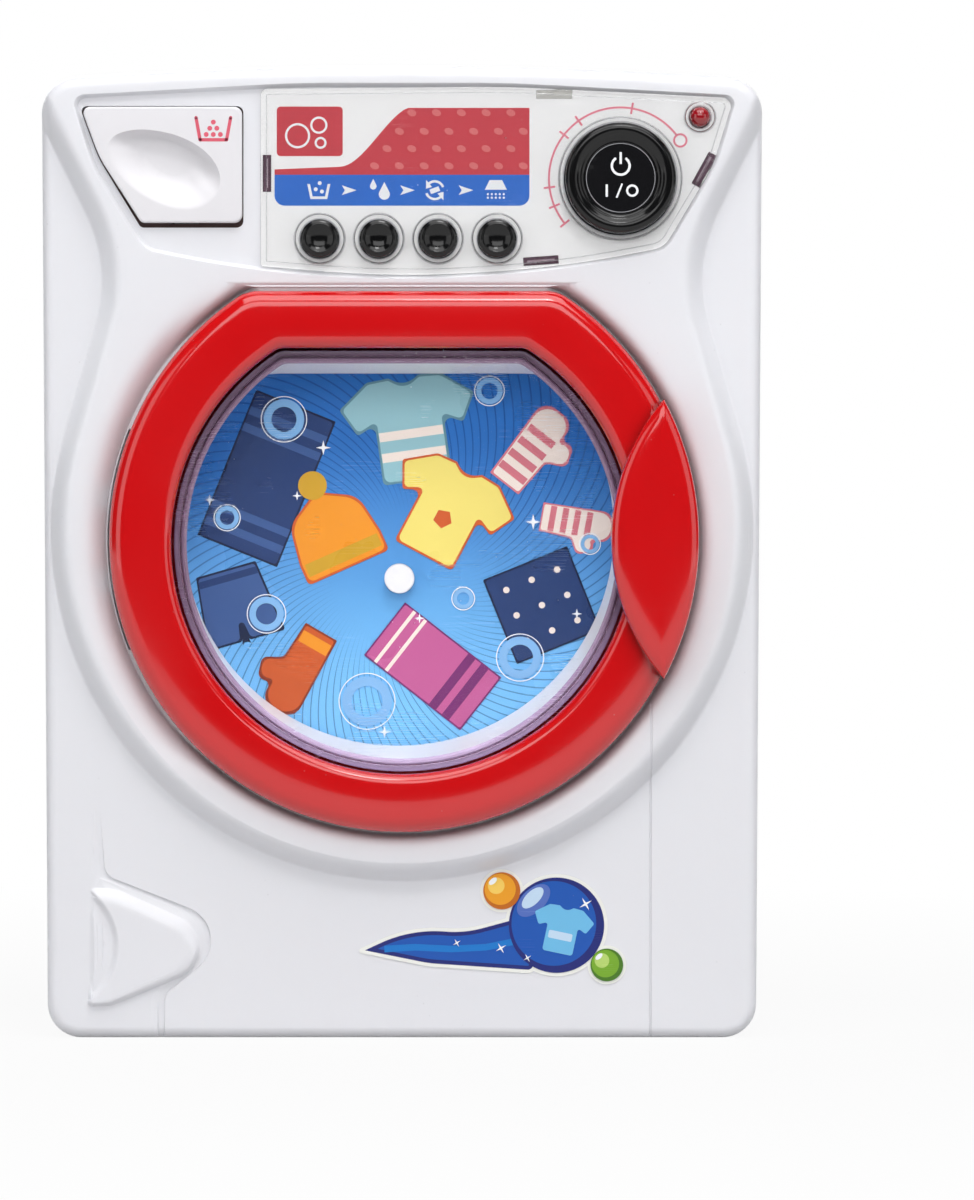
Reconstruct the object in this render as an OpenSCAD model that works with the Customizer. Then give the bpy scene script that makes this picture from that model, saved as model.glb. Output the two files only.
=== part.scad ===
// Toy washing machine: moulded shells, an opening door, a printed disc turned by a small
// geared motor, press buttons and a pull-out detergent drawer.
// X runs across, Z up, and the front faces -Y. Distances along Y are first written from the
// flat lower front face (y = 0, positive backwards), then centred by place().

/* [Body] */
// Width across the shoulders
body_top_w = 163.4; // [156:0.2:172]
// Width at the base
body_base_w = 160.8; // [154:0.2:170]
// Height from the base to the crown of the top
body_h = 220; // [214:0.5:236]
// Depth from the flat lower front to the back wall
body_depth = 78; // [74:0.5:95]
// Drop of the arched top from its crown to its corners
top_drop = 3.1; // [1.5:0.1:5]
// Radius of the two top corners
top_corner_r = 8.6; // [5:0.1:12]
// Radius of the two bottom corners
base_corner_r = 7.7; // [4:0.1:11]
// Wall thickness of both shells
wall = 2.2; // [1.8:0.1:2.8]
// Depth of the front shell behind the flat lower front
front_depth = 40; // [38:0.5:44]

/* [Raised front] */
// Height of the raised console and door surround
relief_h = 5; // [4.4:0.1:6]
// Width of the sloping side of the raised front
relief_slope = 3.9; // [3:0.1:5]
// Outer radius of the round door surround
bezel_r = 79.3; // [77:0.1:79.8]
// Distance of the centre of the door surround below the crown
bezel_drop = 104.8; // [103:0.1:107]
// Distance of the waist beyond the rim of the door surround
waist_out = 9.2; // [6:0.1:12]
// Angle of the waist above level, seen from the middle of the door surround
waist_angle = 42.34; // [40:0.01:45]
// Radius of the hollow of the waist
waist_r = 34; // [20:0.5:38]
// Distance below the crown at which the raised front meets the sides
shoulder_drop = 12; // [9:0.5:16]

/* [Door] */
// Outer radius of the door ring
door_r = 66.1; // [65:0.1:66.4]
// Distance of the centre of the door ring below the crown
door_drop = 107; // [106:0.1:109]
// Height of the flat top of the ring above its centre
door_flat = 56.1; // [53:0.1:57]
// Radius of the window opening in the ring
opening_r = 52; // [49.5:0.1:53]
// Distance of the centre of the window opening below that of the ring
opening_low = 0.9; // [0:0.1:1.5]
// Height of the flat top of the window opening above its centre
opening_flat = 44; // [42:0.1:45]
// Thickness of the door from back to front
door_t = 8; // [7.4:0.1:9]
// Distance of the hinge axis from the middle of the door
hinge_x = 62.2; // [61.6:0.1:62.6]
// Diameter of the hinge pin
hinge_d = 2; // [1.6:0.1:2.2]
// Depth of the hinge barrel in front of the back of the door ring
hinge_in = 1; // [0.8:0.1:1.2]
// Thickness of the clear window
window_t = 1.2; // [0.8:0.1:1.4]
// Height of the handle above the ring
handle_h = 5; // [3.5:0.1:7]
// Radius of the handle's inner curve
handle_r = 47.7; // [44:0.1:52]

/* [Drum] */
// Distance of the axis of the printed disc below the crown
hub_drop = 115.9; // [114:0.1:117]
// Sideways place of the axis of the printed disc
hub_x = -0.6; // [-2:0.1:2]
// Radius of the printed disc
disc_r = 58; // [57:0.1:60]
// Radius of the round boss in the middle of the disc
boss_r = 3.3; // [2.5:0.1:5]
// Radius of the mouth of the tub behind the door
tub_r = 50.5; // [49:0.1:51]
// Depth of the tub from the door seat to its rear edge
tub_depth = 11.8; // [10:0.1:12.2]

/* [Console] */
// Depth of the console recess
recess_d = 1.5; // [1.2:0.1:2]
// Thickness of the clear cover
cover_t = 1; // [0.8:0.1:1.2]
// Distance of the left edge of the clear cover from the middle
cover_from = 32.2; // [31:0.1:33.5]
// Radius of the program buttons
button_r = 4.3; // [3.6:0.1:4.6]
// Distance between neighbouring program buttons
button_step = 13.35; // [13:0.05:13.8]
// Distance of the row of program buttons below the crown
button_drop = 39.1; // [38.4:0.1:40]
// Travel of the program buttons
button_travel = 1.2; // [0.8:0.1:1.5]
// Radius of the power button
power_r = 12.5; // [11.5:0.1:13]
// Distance of the power button from the middle
power_from = 49.3; // [48.5:0.1:50]
// Distance of the power button below the crown
power_drop = 25.5; // [24.5:0.1:26]
// Travel of the power button
power_travel = 1.5; // [1:0.1:2]

/* [Drawer] */
// Distance of the right edge of the drawer front from the middle
drawer_from = 36.1; // [35.8:0.1:37.5]
// Distance of the left edge of the drawer front from the middle, at its top
drawer_to = 72.6; // [71:0.1:73.2]
// Distance of the top edge of the drawer front below the crown
drawer_drop = 9.3; // [9.1:0.1:12]
// Height of the drawer front
drawer_h = 26.2; // [23:0.1:26.9]
// Length of the drawer behind its front
drawer_len = 29.5; // [24:0.5:32]
// How far the drawer pulls out
drawer_travel = 24; // [16:0.5:24.5]

/* [Drive] */
// Module of the gear teeth
tooth_module = 0.6; // [0.54:0.01:0.64]
// Teeth of the gear on the drive shaft
output_teeth = 42; // [40:1:44]
// Teeth of the big wheel of each compound gear
wheel_teeth = 40; // [38:1:42]
// Teeth of the motor pinion
pinion_teeth = 10; // [9:1:12]
// Diameter of the drive shaft
shaft_d = 4; // [3:0.1:5]
// Diameter of the motor can
motor_d = 20; // [18:0.1:21]
// Length of the motor can
motor_len = 25; // [22:0.1:27]

/* [Power supply] */
// Diameter of a battery cell
cell_d = 14.2; // [13.6:0.1:14.5]
// Length of a battery cell
cell_len = 50.2; // [48:0.1:51]
// Diameter of the speaker
speaker_d = 36; // [30:0.5:38]

/* [Hidden] */
$fn = 64;

gap = 0.3;          // air between pieces that don't touch
run = 0.05;         // radial running clearance of a pin or shaft
eps = 0.02;         // keeps a cut from ending on a surface

// Sideways places are written for a body drawn_w wide and spread with its width. Heights of
// the console are written for a body drawn_h high and keep their distance from the crown.
drawn_w = 163.4;
drawn_h = 220;
function across(x) = x * body_top_w / drawn_w;
function up(z) = z + body_h - drawn_h;
function spread(pts) = [for (p = pts) [across(p[0]), up(p[1]), p[2]]];
function side_x(z) = (body_base_w + (body_top_w - body_base_w) * z / body_h) / 2;
bezel_z = body_h - bezel_drop;
door_z = body_h - door_drop;
opening_z = door_z - opening_low;
hub_z = body_h - hub_drop;
shoulder_z = body_h - shoulder_drop;
waist_at = [0, bezel_z] + (bezel_r + waist_out) * [cos(waist_angle), sin(waist_angle)];
button_z = body_h - button_drop;
power_z = body_h - power_drop;
power_x = across(power_from);
cover_left = -across(cover_from);
drawer_right = -across(drawer_from);
drawer_left = -across(drawer_to);
drawer_high = body_h - drawer_drop;
drawer_low = drawer_high - drawer_h;

// What lies on the plinth under the door surround is written for one drawn_plinth high
drawn_plinth = 35.9;
plinth = (bezel_z - bezel_r) / drawn_plinth;
drawn_base_w = 160.8;
function on_plinth(pts) =
  [for (p = pts) [p[0] * body_base_w / drawn_base_w, p[1] * plinth, p[2] * plinth]];

// Levels along Y, from the front backwards
relief_y = -relief_h;
floor_y = relief_y + recess_d;          // console floor
slab_y = floor_y + 2;                   // back of the console floor
card_t = 0.2;
card_y = floor_y - card_t;
cover_y = card_y - cover_t;
seat_y = relief_y + 4;                  // door seat inside the raised surround
seat_back = seat_y + wall;
door_back = seat_y - gap;
door_front = door_back - door_t;
handle_front = door_front - handle_h;
tub_end = seat_back + tub_depth;
disc_y = tub_end + 0.6;                 // front of the spin disc
disc_t = 1.6;
label_t = 0.2;
bracket_y = disc_y + 10.4;              // front of the gear bracket
bracket_t = 2;
layer_y = [bracket_y + bracket_t + 1, bracket_y + bracket_t + 5.5, bracket_y + bracket_t + 9.5];
layer_t = [3.5, 3, 3];
gearbox_back = layer_y[2] + layer_t[2] + 3.4;
back_y = body_depth;
parting_y = front_depth;
mid_y = (back_y + handle_front) / 2;

// Places in the front view, [x, z]
hub = [hub_x, hub_z];
button_x = [for (i = [0:3]) across(-18.6 + i * button_step)];
power_at = [power_x, power_z];
lamp_at = [across(67.3), up(208.4)];
// Posts are [x, z, the level they grow from]
low_post_z = 14;
high_post_z = up(160);
low_post_x = side_x(low_post_z) - 10.5;
high_post_x = side_x(high_post_z) - 8.15;
housing_posts = [[-low_post_x, low_post_z, 1], [low_post_x, low_post_z, 1],
  [-high_post_x, high_post_z, 1], [high_post_x, high_post_z, 1],
  [across(-20), up(210.5), slab_y - 0.5], [across(20), up(210.5), slab_y - 0.5]];
board_posts = spread([[-25, 176.2, slab_y - 0.5], [68, 176.2, 1], [8, 200, slab_y - 0.5]]);
tub_post_r = 59;
tub_posts = [for (a = [45:90:315]) [tub_post_r * cos(a), bezel_z - 2.7 + tub_post_r * sin(a)]];
bracket_post_x = side_x(hub_z) - 9;
bracket_posts = [for (x = [-bracket_post_x, bracket_post_x], p = [[-10, -0.5], [14, relief_y + 2]])
  [x, hub_z + p[0], p[1]]];
post_r = 3.2;
pilot_r = 1.15;
screw_r = 1.13;

// Gear train: each centre follows from the tooth counts of the pair that meets there
small_b_teeth = 14;
small_a_teeth = 12;
dir_b = 0;
dir_a = 60;
dir_motor = 0;
function mesh_gap(n1, n2) = (n1 + n2) * tooth_module / 2;
function aim(a) = [cos(a), sin(a)];
centre_b = hub + mesh_gap(output_teeth, small_b_teeth) * aim(dir_b);
centre_a = centre_b + mesh_gap(wheel_teeth, small_a_teeth) * aim(dir_a);
centre_motor = centre_a + mesh_gap(wheel_teeth, pinion_teeth) * aim(dir_motor);
axle_r = 1;
wheel_r = (wheel_teeth / 2 + 1) * tooth_module;
output_r = (output_teeth / 2 + 1) * tooth_module;

// ---------- outlines in the front view, [x, z], counter-clockwise ----------

function unit(v) = v / norm(v);
function mirrored(half) = concat(half, [for (i = [len(half) - 1:-1:0]) [-half[i][0], half[i][1]]]);
function moved(pts, d) = [for (p = pts) [p[0] + d[0], p[1] + d[1]]];

// The arc of radius r that rounds corner v between its neighbours a and b
function corner_arc(a, v, b, r, n) =
  let (u = unit(a - v), w = unit(b - v), half = acos(u * w) / 2, t = r / tan(half),
       c = v + unit(u + w) * r / sin(half), p = v + u * t - c, q = v + w * t - c,
       a0 = atan2(p[1], p[0]), d = atan2(q[1], q[0]) - a0,
       sweep = d > 180 ? d - 360 : d < -180 ? d + 360 : d)
  [for (k = [0:n]) c + r * aim(a0 + sweep * k / n)];

// Outline through corners [x, z, radius], moved inwards by i
function rounded(pts, i = 0, n = 5) =
  let (m = len(pts),
       xy = [for (p = pts) [p[0], p[1]]],
       e = [for (k = [0:m - 1]) unit(xy[(k + 1) % m] - xy[k])],
       q = [for (k = [0:m - 1])
         let (e1 = e[(k + m - 1) % m], e2 = e[k], n1 = [-e1[1], e1[0]], n2 = [-e2[1], e2[0]],
              turn = cross(e1, e2))
         [each (xy[k] + (n1 + n2) * i / (1 + n1 * n2)), max(0.05, pts[k][2] - sign(turn) * i)]])
  [for (k = [0:m - 1])
    let (a = q[(k + m - 1) % m], v = q[k], b = q[(k + 1) % m])
    each corner_arc([a[0], a[1]], [v[0], v[1]], [b[0], b[1]], v[2], n)];

// Right half of a circle cut by a flat top h above its centre, with a fillet f, from the bottom up
function flat_half(r, h, f, z, n = 22) =
  let (cx = sqrt((r - f) * (r - f) - (h - f) * (h - f)), a0 = atan2(h - f, cx), step = (a0 + 90) / n)
  moved(concat([for (k = [0:n - 1]) r * aim(-90 + (k + 0.5) * step)],
    [for (k = [0:4]) [cx, h - f] + f * aim(a0 + (90 - a0) * k / 4)]), [0, z]);
function flat_circle(r, h, f, z, n = 22) = mirrored(flat_half(r, h, f, z, n));

door_fillet = 9;
function door_outline(grow) = flat_circle(door_r + grow, door_flat + grow, door_fillet, door_z);
function opening_outline(grow) =
  flat_circle(opening_r + grow, opening_flat + grow, 4, opening_z);

// The body seen from the front: arched top, tapering sides, moved inwards by i
arch_r = (pow(body_top_w / 2, 2) + pow(top_drop, 2)) / (2 * top_drop);
function body_half(i) =
  let (rb = max(base_corner_r - i, 0.4), rt = max(top_corner_r - i, 0.4),
       wb = body_base_w / 2 - i, wt = body_top_w / 2 - i, ra = arch_r - i, zc = body_h - arch_r,
       cx = wt - rt, cz = zc + sqrt((ra - rt) * (ra - rt) - cx * cx), a1 = atan2(cz - zc, cx))
  concat([for (k = [0:6]) [wb - rb, i + rb] + rb * aim(-90 + 15 * k)],
    [for (k = [0:6]) [cx, cz] + rt * aim(a1 * k / 6)],
    [for (k = [1:5]) [0, zc] + ra * aim(a1 + (90 - a1) * k / 5.5)]);
function body_outline(i = 0) = mirrored(body_half(i));

// The raised front: a round surround that flows through a waist into the console,
// and runs past the sides and the top, where the body trims it
trim_x = body_top_w / 2 + 6;
function tangent_point(v, r) =
  let (d = v - [0, bezel_z], a = atan2(d[1], d[0]) - acos(r / norm(d))) [0, bezel_z] + r * aim(a);
function relief_half(i) =
  let (v0 = waist_at, rise = unit([body_top_w / 2, shoulder_z] - v0),
       down = unit(tangent_point(v0, bezel_r) - v0), n1 = [-rise[1], rise[0]], n2 = [down[1], -down[0]],
       v = v0 + (n1 + n2) * i / (1 + n1 * n2), t = tangent_point(v, bezel_r - i),
       s = v + rise * (trim_x - v[0]) / rise[0],
       a_end = atan2(t[1] - bezel_z, t[0]), step = (a_end + 90) / 20)
  concat([for (k = [0:19]) [0, bezel_z] + (bezel_r - i) * aim(-90 + (k + 0.5) * step)], [t],
    corner_arc(t, v, s, waist_r + i, 6), [s, [trim_x, max(body_h, s[1]) + 6]]);
function relief_outline(i = 0) = mirrored(relief_half(i));

console_right = spread([[59.4, 178.6, 6], [70.4, 197, 30], [75.4, 213, 2.4], [23.2, 215.6, 300]]);
console_left = spread([[-23.2, 215.6, 300], [-74.4, 213, 2.4], [-69.3, 197, 30], [-58, 178.8, 6],
  [-36, 174.2, 240]]);
console_dip = spread([[0, 171.8, 240], [36, 174.2, 240]]);
console_corners = concat(console_dip, console_right, console_left);
cover_corners = concat([[cover_left, up(174.4), 1]], console_dip, console_right,
  [[cover_left, up(215.1), 1.8]]);
drawer_corners = [[drawer_left + 13.7, drawer_low, 1.6], [drawer_right, drawer_low, 1.8],
  [drawer_right, drawer_high, 1.8], [drawer_left, drawer_high, 1.5],
  [drawer_left + 4.2, (drawer_low + drawer_high) / 2 + 1.7, 25]];
drain_corners = on_plinth([[-71.4, 7.2, 1.5], [-66, 7.4, 6], [-34.4, 20.3, 7.4], [-64.8, 33.9, 15],
  [-71.4, 34.2, 2.2]]);
drain_dish = on_plinth([[-80, 20.9, 16]])[0];
drain_groove = on_plinth([[-68.9, 51.6, 0], [-67.5, 37.3, 2.5], [-36.7, 24.2, 7.2],
  [-54.5, 9.8, 2], [-54.7, -1, 0]]);
sticker_bubbles = on_plinth([[35, 25.6, 11.6], [22.6, 33.4, 4.9], [46.4, 16.6, 4.4]]);
sticker_tail = on_plinth([[-11, 19.6, 0.6], [6, 16.2, 30], [30, 14.6, 2], [34, 30, 2],
  [14, 24.6, 24], [2, 25.6, 30]]);

// ---------- shape helpers ----------

module place() {
  translate([0, -mid_y, 0]) children();
}

// Extrudes a front-view shape from y0 back to y1
module slab(y0, y1) {
  translate([0, y1, 0]) rotate([90, 0, 0]) linear_extrude(y1 - y0) children();
}

module rod(at, r, y0, y1) {
  slab(y0, y1) translate(at) circle(r);
}

// Turns a profile of [radius, y] points about the Y axis through [x, z]
module turned(at, pts) {
  translate([at[0], 0, at[1]]) rotate([90, 0, 0]) rotate_extrude()
    polygon([for (p = pts) [p[0], -p[1]]]);
}

// Solid through outlines with equal point counts, [[y, outline], ...] from the back forwards.
// Each outline starts at the bottom right of its axis of symmetry, so a cap is a ladder of strips.
module loft(rings) {
  n = len(rings[0][1]);
  last = (len(rings) - 1) * n;
  points = [for (ring = rings, p = ring[1]) [p[0], ring[0], p[1]]];
  sides = [for (k = [0:len(rings) - 2], i = [0:n - 1])
    let (b = k * n, f = b + n, j = (i + 1) % n)
    each [[f + i, f + j, b + j], [f + i, b + j, b + i]]];
  strips = [for (i = [0:n / 2 - 2]) [i, i + 1, n - 2 - i, n - 1 - i]];
  back = [for (s = strips) each [[s[0], s[1], s[2]], [s[0], s[2], s[3]]]];
  front = [for (t = back) [last + t[2], last + t[1], last + t[0]]];
  polyhedron(points, concat(sides, back, front), convexity = 6);
}

// Tube along a route of points, with s sides
function route_dir(pts, i) =
  unit(pts[min(i + 1, len(pts) - 1)] - pts[max(i - 1, 0)]);
module tube(pts, r, s = 8) {
  m = len(pts);
  aside = [0.13, 0.21, 0.97];
  points = [for (i = [0:m - 1])
    let (d = route_dir(pts, i), u = unit(cross(d, aside)), w = cross(u, d))
    for (k = [0:s - 1]) pts[i] + r * (cos(360 * k / s) * u + sin(360 * k / s) * w)];
  sides = [for (i = [0:m - 2], k = [0:s - 1])
    let (a = i * s + k, b = i * s + (k + 1) % s)
    each [[a, b, b + s], [a, b + s, a + s]]];
  polyhedron(points, concat([[for (k = [s - 1:-1:0]) k]], sides,
    [[for (k = [0:s - 1]) (m - 1) * s + k]]), convexity = 6);
}

// Points of a smooth curve through the route's own points
function smooth(pts, n = 4) =
  let (m = len(pts))
  [for (i = [0:m - 2], k = [0:n - 1])
    let (t = k / n, a = pts[max(i - 1, 0)], b = pts[i], c = pts[i + 1], d = pts[min(i + 2, m - 1)])
    0.5 * (2 * b + (c - a) * t + (2 * a - 5 * b + 4 * c - d) * t * t
      + (3 * b - a - 3 * c + d) * t * t * t)];
function curve(pts) = concat(smooth(pts), [pts[len(pts) - 1]]);

// Pan-head screw driven forwards: back of the head at y_head, tip at y_tip
head_t = 1.4;
module screw(at, y_head, y_tip, head_r = 2.3) {
  difference() {
    union() {
      rod(at, head_r, y_head - head_t, y_head);
      rod(at, screw_r, y_tip, y_head - head_t + eps);
    }
    slab(y_head - head_t / 2, y_head + 1) translate(at) {
      square([2.6, 0.5], center = true);
      square([0.5, 2.6], center = true);
    }
  }
}

// Box with its corners at [x, y, z] low and high
module block(low, high) {
  translate(low) cube(high - low);
}

// ---------- front housing ----------

// Fractions of [slope, height] along the side of the raised front, from its foot to its crest
relief_profile = [[-0.15, 0.16], [0.2, -0.28], [0.65, -0.8], [0.88, -0.955], [1.15, -1.01]];

// Everything beside the raised front, down to the flat lower face
module lowered(inset, back) {
  difference() {
    slab(relief_y - 1 + back, back) translate([-trim_x - 20, -20])
      square([2 * trim_x + 40, body_h + 60]);
    loft([for (p = relief_profile)
      [p[1] * relief_h + back, relief_outline(inset + p[0] * relief_slope)]]);
  }
}

function seat_outline(grow) =
  flat_circle(door_r + 0.9 + grow, door_flat + 0.9 + 0.2 * grow, door_fillet, door_z);
seat_profile = [[0, 0], [1.2, 1], [3, 3], [3.75, 4.6], [4.1, 6]];

module housing_skin() {
  difference() {
    loft([[parting_y, body_outline(0)], [relief_y + 2.6, body_outline(0)],
      [relief_y + 1, body_outline(0.5)], [relief_y + 0.3, body_outline(1.3)],
      [relief_y, body_outline(2.6)]]);
    lowered(0, 0);
    difference() {
      slab(relief_y + wall, parting_y + 1) polygon(body_outline(wall));
      lowered(0.75 * wall, wall);
    }
  }
}

// Where the round lugs of the hinge and its knuckle lie along the pin
knuckle_half = 7;
lug_from = knuckle_half + 0.35;
lug_to = lug_from + 3.8;
barrel_r = hinge_d / 2 + 0.9;
hinge_y = door_back - barrel_r - hinge_in;
hinge_pocket_y = hinge_y + norm([door_r - hinge_x, door_back - hinge_y]) + 0.5;

// Sector of the seat at the hinge, between two radii about the middle of the door
module hinge_sector(r0, r1, half, y0, y1) {
  slab(y0, y1) intersection() {
    difference() {
      translate([0, door_z]) circle(r1);
      translate([0, door_z]) circle(r0);
    }
    translate([-r1 - 1, door_z - half]) square([40, 2 * half]);
  }
}

module hinge_lugs() {
  for (z = [-lug_to, lug_from]) {
    translate([-hinge_x, hinge_y, door_z + z]) cylinder(r = barrel_r - 0.1, h = lug_to - lug_from);
    block([-hinge_x - 1.4, hinge_y, door_z + z],
      [-hinge_x + 1.4, hinge_pocket_y + 0.5, door_z + z + lug_to - lug_from]);
  }
}

// Snap tabs of the clear cover: [x, z, direction, length]
tabs = [[cover_left + 1.7, up(195.7), -90, 8.2], [across(34.4), up(213.5), 180, 8],
  [across(68.2), up(196.6), 61, 8], [across(31.4), up(176), 4, 7.8]];
tab_w = 1.7;
module tab_slots(grow = 0) {
  for (t = tabs)
    translate([t[0], t[1]]) rotate(t[2]) square([t[3] + grow, tab_w + grow], center = true);
}

module console_holes(button_gap, power_gap, lamp_gap) {
  for (x = button_x) translate([x, button_z]) circle(button_r + button_gap);
  translate(power_at) circle(power_r + power_gap);
  translate(lamp_at) circle(lamp_r + lamp_gap);
}

groove_w = 1;
function ribbon(pts, w) =
  let (n = len(pts), side = [for (i = [0:n - 1])
    let (d = unit(pts[min(i + 1, n - 1)] - pts[max(i - 1, 0)])) [-d[1], d[0]] * w / 2])
  concat([for (i = [0:n - 1]) pts[i] - side[i]], [for (i = [n - 1:-1:0]) pts[i] + side[i]]);
function open_round(pts, n = 6) =
  let (xy = [for (p = pts) [p[0], p[1]]], m = len(pts))
  concat([xy[0]], [for (i = [1:m - 2]) each corner_arc(xy[i - 1], xy[i], xy[i + 1], pts[i][2], n)],
    [xy[m - 1]]);

tub_z = bezel_z - 2.7;
tub_flange_y = seat_back + 3.8;
catch_x = door_r - 6.1;
catch_half = 3.5;

module front_housing() {
  color("white") place() difference() {
    union() {
      housing_skin();
      slab(floor_y + 0.1, slab_y) polygon(rounded(console_corners, -2.6));
      loft([[seat_back, seat_outline(1.6)], [seat_y - 1.4, seat_outline(3.4)],
        [relief_y + 1, seat_outline(6.2)]]);
      hinge_sector(hinge_x - 7, door_r + 3.4, 27, seat_y, hinge_pocket_y + 1.8);
      slab(-1.5, wall / 2) polygon(rounded(drain_corners));
      for (p = housing_posts) rod([p[0], p[1]], post_r, p[2], parting_y);
      for (p = board_posts) rod([p[0], p[1]], 2.2, p[2], board_y);
      for (p = tub_posts) rod(p, 3, seat_y + 0.5, tub_flange_y);
      for (p = bracket_posts) rod([p[0], p[1]], post_r, p[2], bracket_y);
    }
    slab(relief_y - 1, floor_y) polygon(rounded(console_corners));
    loft([for (p = seat_profile) [seat_y - p[0], seat_outline(p[1])]]);
    slab(seat_y - 1, tub_flange_y + 1) polygon(tub_outline(0, 0));
    hinge_sector(hinge_x - 5.2, door_r + 1.7, 25, seat_y - 1, hinge_pocket_y);
    block([catch_x - 2, seat_y - 1, door_z - catch_half - 1],
      [catch_x + 2, seat_back + 3, door_z + catch_half + 1]);
    slab(floor_y - 1, slab_y + 1) {
      console_holes(0.15, 0.2, 0.15);
      tab_slots(0.6);
      polygon(rounded(drawer_corners, -0.35));
    }
    rod([drain_dish[0], drain_dish[1]], drain_dish[2], -3, -0.3);
    slab(-3, 0.6) polygon(ribbon(open_round(drain_groove), groove_w));
    block([across(56), -1, -1], [across(56) + 0.6, 0.35, bezel_z - 39.2]);
    for (p = housing_posts) rod([p[0], p[1]], pilot_r, parting_y - 14, parting_y + 1);
    for (p = board_posts) rod([p[0], p[1]], pilot_r, board_y - 6, board_y + 1);
    for (p = tub_posts) rod(p, pilot_r, tub_flange_y - 3.4, tub_flange_y + 1);
    for (p = bracket_posts) rod([p[0], p[1]], pilot_r, bracket_y - 8, bracket_y + 1);
  }
  color("white") place() difference() {
    hinge_lugs();
    translate([-hinge_x, hinge_y, door_z - 20]) cylinder(r = hinge_d / 2 + eps, h = 40);
  }
}

// ---------- rear housing ----------

cell_gap = 0.6;
bay_half = cell_len / 2 + 4.4;
bay_low = 15;
bay_high = bay_low + 2 * cell_d + 3 * cell_gap;
bay_y = back_y - 2 - cell_d - 2 * cell_gap;
cell_y = bay_y + cell_d / 2 + cell_gap;
bay_wall = 1.6;
door_lip = 2.3;
bay_screw = [0, bay_high + 6];
speaker_at = [-46, bay_high + 26.8];

module battery_door_shape(grow) {
  translate([-bay_half - door_lip, bay_low - door_lip]) offset_square(
    [2 * (bay_half + door_lip), bay_high - bay_low + 2 * door_lip], grow);
  translate(bay_screw) circle(4.6 + grow);
  translate([bay_screw[0] - 4.6 - grow, bay_high]) square([9.2 + 2 * grow, bay_screw[1] - bay_high]);
}

module offset_square(size, grow) {
  translate([-grow, -grow]) square([size[0] + 2 * grow, size[1] + 2 * grow]);
}

module speaker_holes() {
  rod(speaker_at, 1.3, back_y - 4, back_y + 1);
  for (ring = [1:2], k = [0:6 * ring - 1])
    rod(speaker_at + 5 * ring * aim(60 / ring * k), 1.3, back_y - 4, back_y + 1);
}

module rear_housing() {
  color("white") place() difference() {
    union() {
      difference() {
        loft([[back_y, body_outline(3.4)], [back_y - 0.8, body_outline(1.7)],
          [back_y - 2.6, body_outline(0.7)], [parting_y, body_outline(0)]]);
        slab(parting_y - 1, back_y - wall) polygon(body_outline(wall + 0.6));
      }
      slab(parting_y - 1.6, parting_y + 3) difference() {
        polygon(body_outline(wall + 0.15));
        polygon(body_outline(wall + 1.4));
      }
      for (p = housing_posts) rod([p[0], p[1]], 4.2, parting_y + eps, back_y - 1);
      slab(bay_y - bay_wall, back_y - 1) offset_bay(bay_wall);
      slab(back_y - 4, back_y - 1) battery_door_shape(1.4);
      rod(bay_screw, 3.4, back_y - 13, back_y - 1);
      slab(back_y - 7, back_y - 1) difference() {
        translate(speaker_at) circle(speaker_d / 2 + 1.8);
        translate(speaker_at) circle(speaker_d / 2 + gap);
      }
    }
    for (p = housing_posts) {
      rod([p[0], p[1]], 1.35, parting_y - 1, back_y + 1);
      rod([p[0], p[1]], 2.7, parting_y + 6, back_y + 1);
    }
    slab(bay_y, back_y + 1) offset_bay(0);
    slab(back_y - 2, back_y + 1) battery_door_shape(0.2);
    rod(bay_screw, pilot_r, back_y - 12, back_y);
    speaker_holes();
  }
}

module offset_bay(grow) {
  translate([-bay_half, bay_low]) offset_square([2 * bay_half, bay_high - bay_low], grow);
}

module housing_screws() {
  color("silver") place() for (p = housing_posts)
    screw([p[0], p[1]], parting_y + 6 + head_t, parting_y - 12, 2.4);
}

// ---------- console ----------

lamp_r = 2.3;
board_y = slab_y + 9.5;
board_t = 1.6;
stem_y = slab_y + 4.5;

module console_card() {
  color("snow") place() slab(card_y, floor_y) difference() {
    polygon(rounded(cover_corners, 0.3));
    console_holes(0.4, 0.5, 0.4);
    tab_slots(0.6);
  }
}

module console_cover() {
  color("gainsboro", 0.4) place() difference() {
    union() {
      slab(cover_y, card_y) polygon(rounded(cover_corners, 0.25));
      for (x = button_x) rod([x, button_z], button_r + 1.6, cover_y - 0.8, cover_y + eps);
      rod(power_at, power_r + 1.6, cover_y - 1, cover_y + eps);
      rod(lamp_at, lamp_r + 1.4, cover_y - 0.6, cover_y + eps);
    }
    slab(cover_y - 2, card_y + 1) {
      console_holes(0.3, 0.35, 0.3);
      tab_slots();
    }
  }
  color("gainsboro", 0.4) place() for (t = tabs) {
    slab(cover_y, slab_y + 1.4) translate([t[0], t[1]]) rotate(t[2]) translate([0, -tab_w / 2 + 0.35])
      square([t[3] - 1, 0.9], center = true);
    slab(slab_y + 0.1, slab_y + 1.4) translate([t[0], t[1]]) rotate(t[2])
      translate([0, -tab_w / 2 - 0.1]) square([t[3] - 1, 1.6], center = true);
  }
}

module program_button(i) {
  color("#111111") place() turned([button_x[i], button_z], [[0, cover_y - 2.6],
    [button_r * 0.5, cover_y - 2.5], [button_r * 0.76, cover_y - 2], [button_r * 0.84, cover_y - 1.5],
    [button_r, cover_y - 1.5], [button_r, slab_y + 0.1], [button_r + 1.1, slab_y + 0.1],
    [button_r + 1.1, slab_y + 1.1], [2, slab_y + 1.1], [2, stem_y], [0, stem_y]]);
}
module program_button_1() { program_button(0); }
module program_button_2() { program_button(1); }
module program_button_3() { program_button(2); }
module program_button_4() { program_button(3); }

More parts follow.
